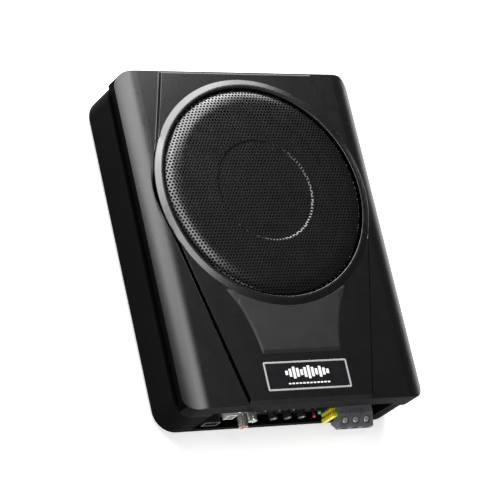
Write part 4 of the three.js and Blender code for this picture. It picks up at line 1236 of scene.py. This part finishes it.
# ---- Build ----
top_cover()
pocket_walls(base_shell())
grille()
badge()
input_jack("right", "red_plastic")
input_jack("left", "white_plastic")
for control in KNOBS:
    knob(control)
lamp("protect_led", "led_red")
lamp("power_led", "led_green")
panel_print()
fuse_window()
for clamp in (1, 2, 3):
    terminal_screw(clamp)
for foot_number in (1, 2, 3, 4):
    foot(foot_number)
surround()
spider()
dress_cad_nodes()


# ---- Floor, light and camera ----
SOFTBOXES = {  # bearing from the object, degrees across, radiance
    "key": ((-0.36, 0.52, 0.78), 34, 6.4),
    "ring": ((-0.08, 0.08, 1.0), 26, 5.0),
    "far": ((0.10, 0.77, 0.63), 35, 8.0),
    "low_back": ((0.38, 0.86, 0.33), 26, 6.0),
    "front_fill": ((-0.25, -0.85, 0.45), 34, 5.0),
}
SOFTBOX_DISTANCE = 1.25  # metres
WORLD_STRENGTH = 0.045
FLOOR_HALF = 3.0  # metres
FLOOR_GLOW = 0.45
CAMERA_AT = Vector((-1.2235, -0.72345, 1.8681))  # metres
CAMERA_LOOK = Vector((0.5255, 0.3134, -0.7910))
CAMERA_UP = Vector((0.0181, 0.9254, 0.3787))
FOCAL_LENGTH = 184.1
SENSOR_WIDTH = 36


def add_floor():
    half = FLOOR_HALF
    mesh = bpy.data.meshes.new("floor")
    corners = [(-half, -half, 0), (half, -half, 0), (half, half, 0), (-half, half, 0)]
    mesh.from_pydata(corners, [], [(0, 1, 2, 3)])
    nodes = Nodes("floor")
    inputs = nodes.shader.inputs
    spots = nodes.ranged(nodes.noise(300), 0.3, 0.7, 0.0, 1.0)
    nodes.link(nodes.mixed(spots, (0.9, 0.9, 0.9), (0.94, 0.94, 0.94)), inputs["Base Color"])
    inputs["Roughness"].default_value = 0.9
    inputs["Specular IOR Level"].default_value = 0.1
    inputs["Emission Color"].default_value = (1, 1, 1, 1)
    inputs["Emission Strength"].default_value = FLOOR_GLOW
    mesh.materials.append(nodes.material)
    link_object("floor", mesh)


def add_softbox(name, bearing, spread, radiance):
    """A square light facing the object, spread degrees across, of a given radiance."""
    size = 2 * SOFTBOX_DISTANCE * math.tan(math.radians(spread / 2))
    light = bpy.data.lights.new(name, "AREA")
    light.shape = "SQUARE"
    light.size = size
    light.energy = radiance * math.pi * size * size
    obj = link_object(name, light)
    toward = Vector(bearing).normalized()
    obj.location = toward * SOFTBOX_DISTANCE
    obj.rotation_euler = (-toward).to_track_quat("-Z", "Y").to_euler()


def add_world():
    world = bpy.data.worlds.new("studio")
    scene.world = world
    world.use_nodes = True
    backdrop = world.node_tree.nodes["Background"]
    backdrop.inputs["Color"].default_value = (0.97, 0.98, 1.0, 1)
    backdrop.inputs["Strength"].default_value = WORLD_STRENGTH


def add_camera():
    """A long lens from above the connector end's left corner."""
    look = CAMERA_LOOK.normalized()
    right = look.cross(CAMERA_UP).normalized()
    up = right.cross(look)
    lens = bpy.data.cameras.new("camera")
    lens.lens = FOCAL_LENGTH
    lens.sensor_width = SENSOR_WIDTH
    lens.clip_end = 20
    obj = link_object("camera", lens)
    turn = Matrix((right, up, -look)).transposed().to_4x4()
    obj.matrix_world = Matrix.Translation(CAMERA_AT) @ turn
    scene.camera = obj


add_floor()
for light_name, (bearing, spread, radiance) in SOFTBOXES.items():
    add_softbox(light_name, bearing, spread, radiance)
add_world()
scene.view_settings.view_transform = "Standard"
add_camera()
